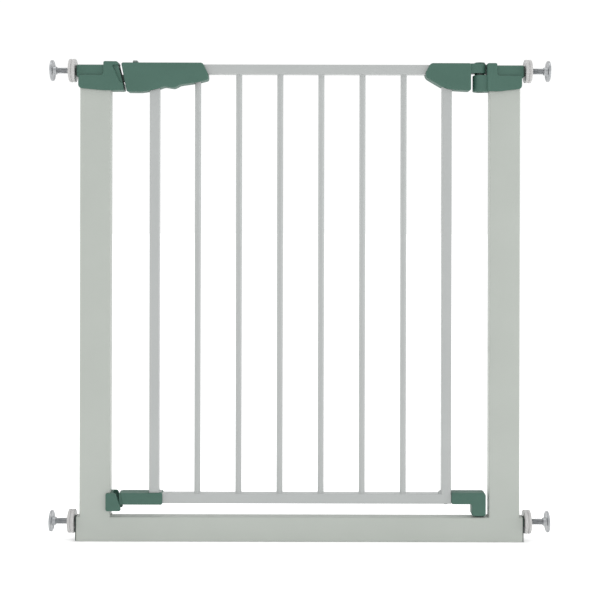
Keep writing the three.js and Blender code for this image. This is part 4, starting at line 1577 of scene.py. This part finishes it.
@dataclass
class Latch(Housing):
    """The sprung bolt and the thumb button that draws it back."""

    bolt_edge: float = 0.6 * MM
    cap_thickness: float = 3.6 * MM
    rib_count: int = 3
    rib_pitch: float = 2.0 * MM
    rib_half_width: float = 0.45 * MM
    rib_inset: float = 1.4 * MM
    rib_rise: float = 0.5 * MM
    rib_root: float = 0.4 * MM

    def build(self) -> None:
        """Builds the bolt and the button, and keeps the spring."""
        low, high = corners("latch_bolt")
        width, height = (high[0] - low[0]) / MM, (high[2] - low[2]) / MM
        loop = outline([(0, 0, 1.5), (width, 0, 0.5), (width, height, 0.5), (0, height, 4)], (low[0], low[2]))
        bolt = plate(loop, low[1], high[1], self.bolt_edge, self.bolt_edge)
        self.shop.fit(bolt, "latch_bolt", sharp_above=40)
        low, high = corners("thumb_button")
        middle, half = (low + high) / 2, (high - low) / 2
        cap_bottom, cap_top = high[2] - self.cap_thickness, high[2] - self.rib_rise
        cap = rectangle(half[0], half[1], 2.0 * MM) + middle[:2]
        stem = rectangle(3.5 * MM, 5.0 * MM, 0.8 * MM) + middle[:2]
        surface = plate(cap, cap_bottom, cap_top, 0.4 * MM, 0.9 * MM, None, 5, Axis.Z)
        plate(stem, corners("latch_bolt")[1][2] + 0.3 * MM, cap_bottom + 1 * MM, 0.0, 0.0, surface, 5, Axis.Z)
        for index in range(self.rib_count):
            place = middle[:2] + ((index - (self.rib_count - 1) / 2) * self.rib_pitch, 0)
            rib = rectangle(self.rib_half_width, half[1] - self.rib_inset, 0.4 * MM) + place
            plate(rib, cap_top - self.rib_root, high[2], 0.0, 0.35 * MM, surface, 4, Axis.Z)
        self.shop.fit(surface, "thumb_button", sharp_above=40)
        self.shop.keep("latch_spring")


@dataclass
class HingePins:
    """The two hinge pins and the flanged bushes that they stand in."""

    shop: Workshop
    sleeve: float = 6.2 * MM
    bore: float = 4.3 * MM
    upper_flange: float = 2.7 * MM
    lower_flange: float = 1.7 * MM
    radius: float = 4.0 * MM
    collar: float = 6.0 * MM
    collar_height: float = 2.0 * MM
    collar_drop: float = 10.5 * MM

    def build(self) -> None:
        """Builds pins and bushes as finely turned pieces."""
        self.bush("upper_hinge_bush", self.upper_flange)
        self.bush("lower_hinge_bush", self.lower_flange)
        self.pin("upper_hinge_pin", True)
        self.pin("lower_hinge_pin", False)

    def bush(self, node: str, thick: float) -> None:
        """A sleeve with softened edges and a flange as thick as given on its top.

        Args:
            node: The bush's node.
            thick: The flange's height.
        """
        low, high = corners(node)
        middle = (low + high) / 2
        flange, sleeve, bore = (high[0] - low[0]) / 2, self.sleeve, self.bore
        step = high[2] - thick
        profile = rounded_profile([
            (bore, low[2], 0.3 * MM), (sleeve, low[2], 0.4 * MM), (sleeve, step, 0.1 * MM),
            (flange, step, 0.3 * MM), (flange, high[2], 0.3 * MM), (bore, high[2], 0.3 * MM),
        ], 4)
        self.shop.fit(turned(profile, Axis.Z, (middle[0], 0, 0), 56, None, True), node, sharp_above=50)

    def pin(self, node: str, collared: bool) -> None:
        """A round pin with a chamfered foot and, where the arm holds it, a collar.

        Args:
            node: The pin's node.
            collared: Whether it has the collar.
        """
        low, high = corners(node)
        middle = (low + high) / 2
        radius, collar = self.radius, self.collar
        foot = [(0.2 * MM, low[2], 0), (radius - 1 * MM, low[2], 0.2 * MM),
                (radius, low[2] + 1 * MM, 0.2 * MM)]
        head = [(radius, high[2], 0.3 * MM), (0.2 * MM, high[2], 0)]
        if collared:
            base = high[2] - self.collar_drop
            top = base + self.collar_height
            foot += [(radius, base, 0.1 * MM), (collar, base, 0.2 * MM), (collar, top, 0.2 * MM),
                     (radius, top, 0.1 * MM)]
        profile = rounded_profile(foot + head, 4, closed=False)
        self.shop.fit(turned(profile, Axis.Z, (middle[0], 0, 0), 48), node, sharp_above=50)


# ---------------------------------------------------------------- studio


@dataclass
class Studio:
    """A pale floor, soft light from all round, and the camera."""

    distance: float = 1.750
    height: float = 0.530
    aim_height: float = 0.3924
    lens: float = 64.25
    roll: float = math.radians(-0.12)
    floor_half: float = 30.0
    floor_glow: float = 0.22
    world_light: float = 1.05

    def build(self) -> None:
        """Sets up the whole studio."""
        self.floor()
        self.world()
        self.camera()
        self.panel("left_panel", (-2.4, -0.3, 0.45), (1.4, 1.4), 12.0)
        self.panel("right_panel", (2.4, -0.5, 0.45), (1.4, 1.4), 18.0)
        self.panel("top_panel", (0.0, -0.3, 2.6), (2.4, 1.0), 8.0)
        scene = bpy.context.scene
        scene.view_settings.view_transform = "Standard"
        scene.view_settings.look = "None"

    def floor(self) -> None:
        """One large pale sheet just under the gate."""
        size, level = self.floor_half, -0.0004
        mesh = bpy.data.meshes.new("floor")
        rim = [(-size, -size, level), (size, -size, level), (size, size, level), (-size, size, level)]
        mesh.from_pydata(rim, [], [(0, 1, 2, 3)])
        made = bpy.data.objects.new("floor", mesh)
        bpy.context.scene.collection.objects.link(made)
        nodes = Nodes("pale_floor")
        tint = nodes.blend(nodes.noise(1.5), shade(250, 250, 250), shade(247, 247, 247))
        nodes.link(tint, nodes.shader.inputs["Base Color"])
        nodes.shader.inputs["Roughness"].default_value = 0.8
        nodes.shader.inputs["Emission Color"].default_value = (1, 1, 1, 1)
        nodes.shader.inputs["Emission Strength"].default_value = self.floor_glow
        made.data.materials.append(nodes.material)

    def world(self) -> None:
        """A plain white surround."""
        world = bpy.data.worlds.new("surround")
        world.use_nodes = True
        back = world.node_tree.nodes["Background"]
        back.inputs["Color"].default_value = (1, 1, 1, 1)
        back.inputs["Strength"].default_value = self.world_light
        bpy.context.scene.world = world

    def panel(self, name: str, place: Sequence[float], size: tuple[float, float], power: float) -> None:
        """One soft box that faces the gate's middle.

        Args:
            name: The light's name.
            place: Where it stands.
            size: Its width and height.
            power: Its power in watts.
        """
        light = bpy.data.lights.new(name, "AREA")
        light.shape = "RECTANGLE"
        light.size, light.size_y = size
        light.energy = power
        made = bpy.data.objects.new(name, light)
        made.location = place
        aim = Vector((0, 0, 0.4)) - Vector(place)
        made.rotation_euler = aim.to_track_quat("-Z", "Y").to_euler()
        bpy.context.scene.collection.objects.link(made)

    def camera(self) -> None:
        """A level camera square in front of the gate's middle."""
        lens = bpy.data.cameras.new("camera")
        lens.lens = self.lens
        lens.sensor_width = 36.0
        lens.shift_y = (self.aim_height - self.height) * self.lens / lens.sensor_width / self.distance
        lens.clip_end = 100.0
        made = bpy.data.objects.new("camera", lens)
        made.location = (0, -self.distance, self.height)
        made.rotation_euler = (math.pi / 2, self.roll, 0)
        bpy.context.scene.collection.objects.link(made)
        bpy.context.scene.camera = made


def main() -> None:
    """Builds the gate from the frame outwards and reports each piece."""
    logging.basicConfig(level=logging.INFO, format="%(name)s %(message)s")
    shop = Workshop(Finishes())
    Studio().build()
    FixedFrame(shop).build()
    DoorLeaf(shop).build()
    for level in Level:
        for side in Side:
            Adjuster(shop, level, side).build()
    for housing in (Keeper, HingeBlock, LatchHandle, HingeArm, LowerFittings, Latch):
        housing(shop).build()
    HingePins(shop).build()
    log.info("%d surfaces made", shop.placed)


if __name__ == "__main__":
    main()
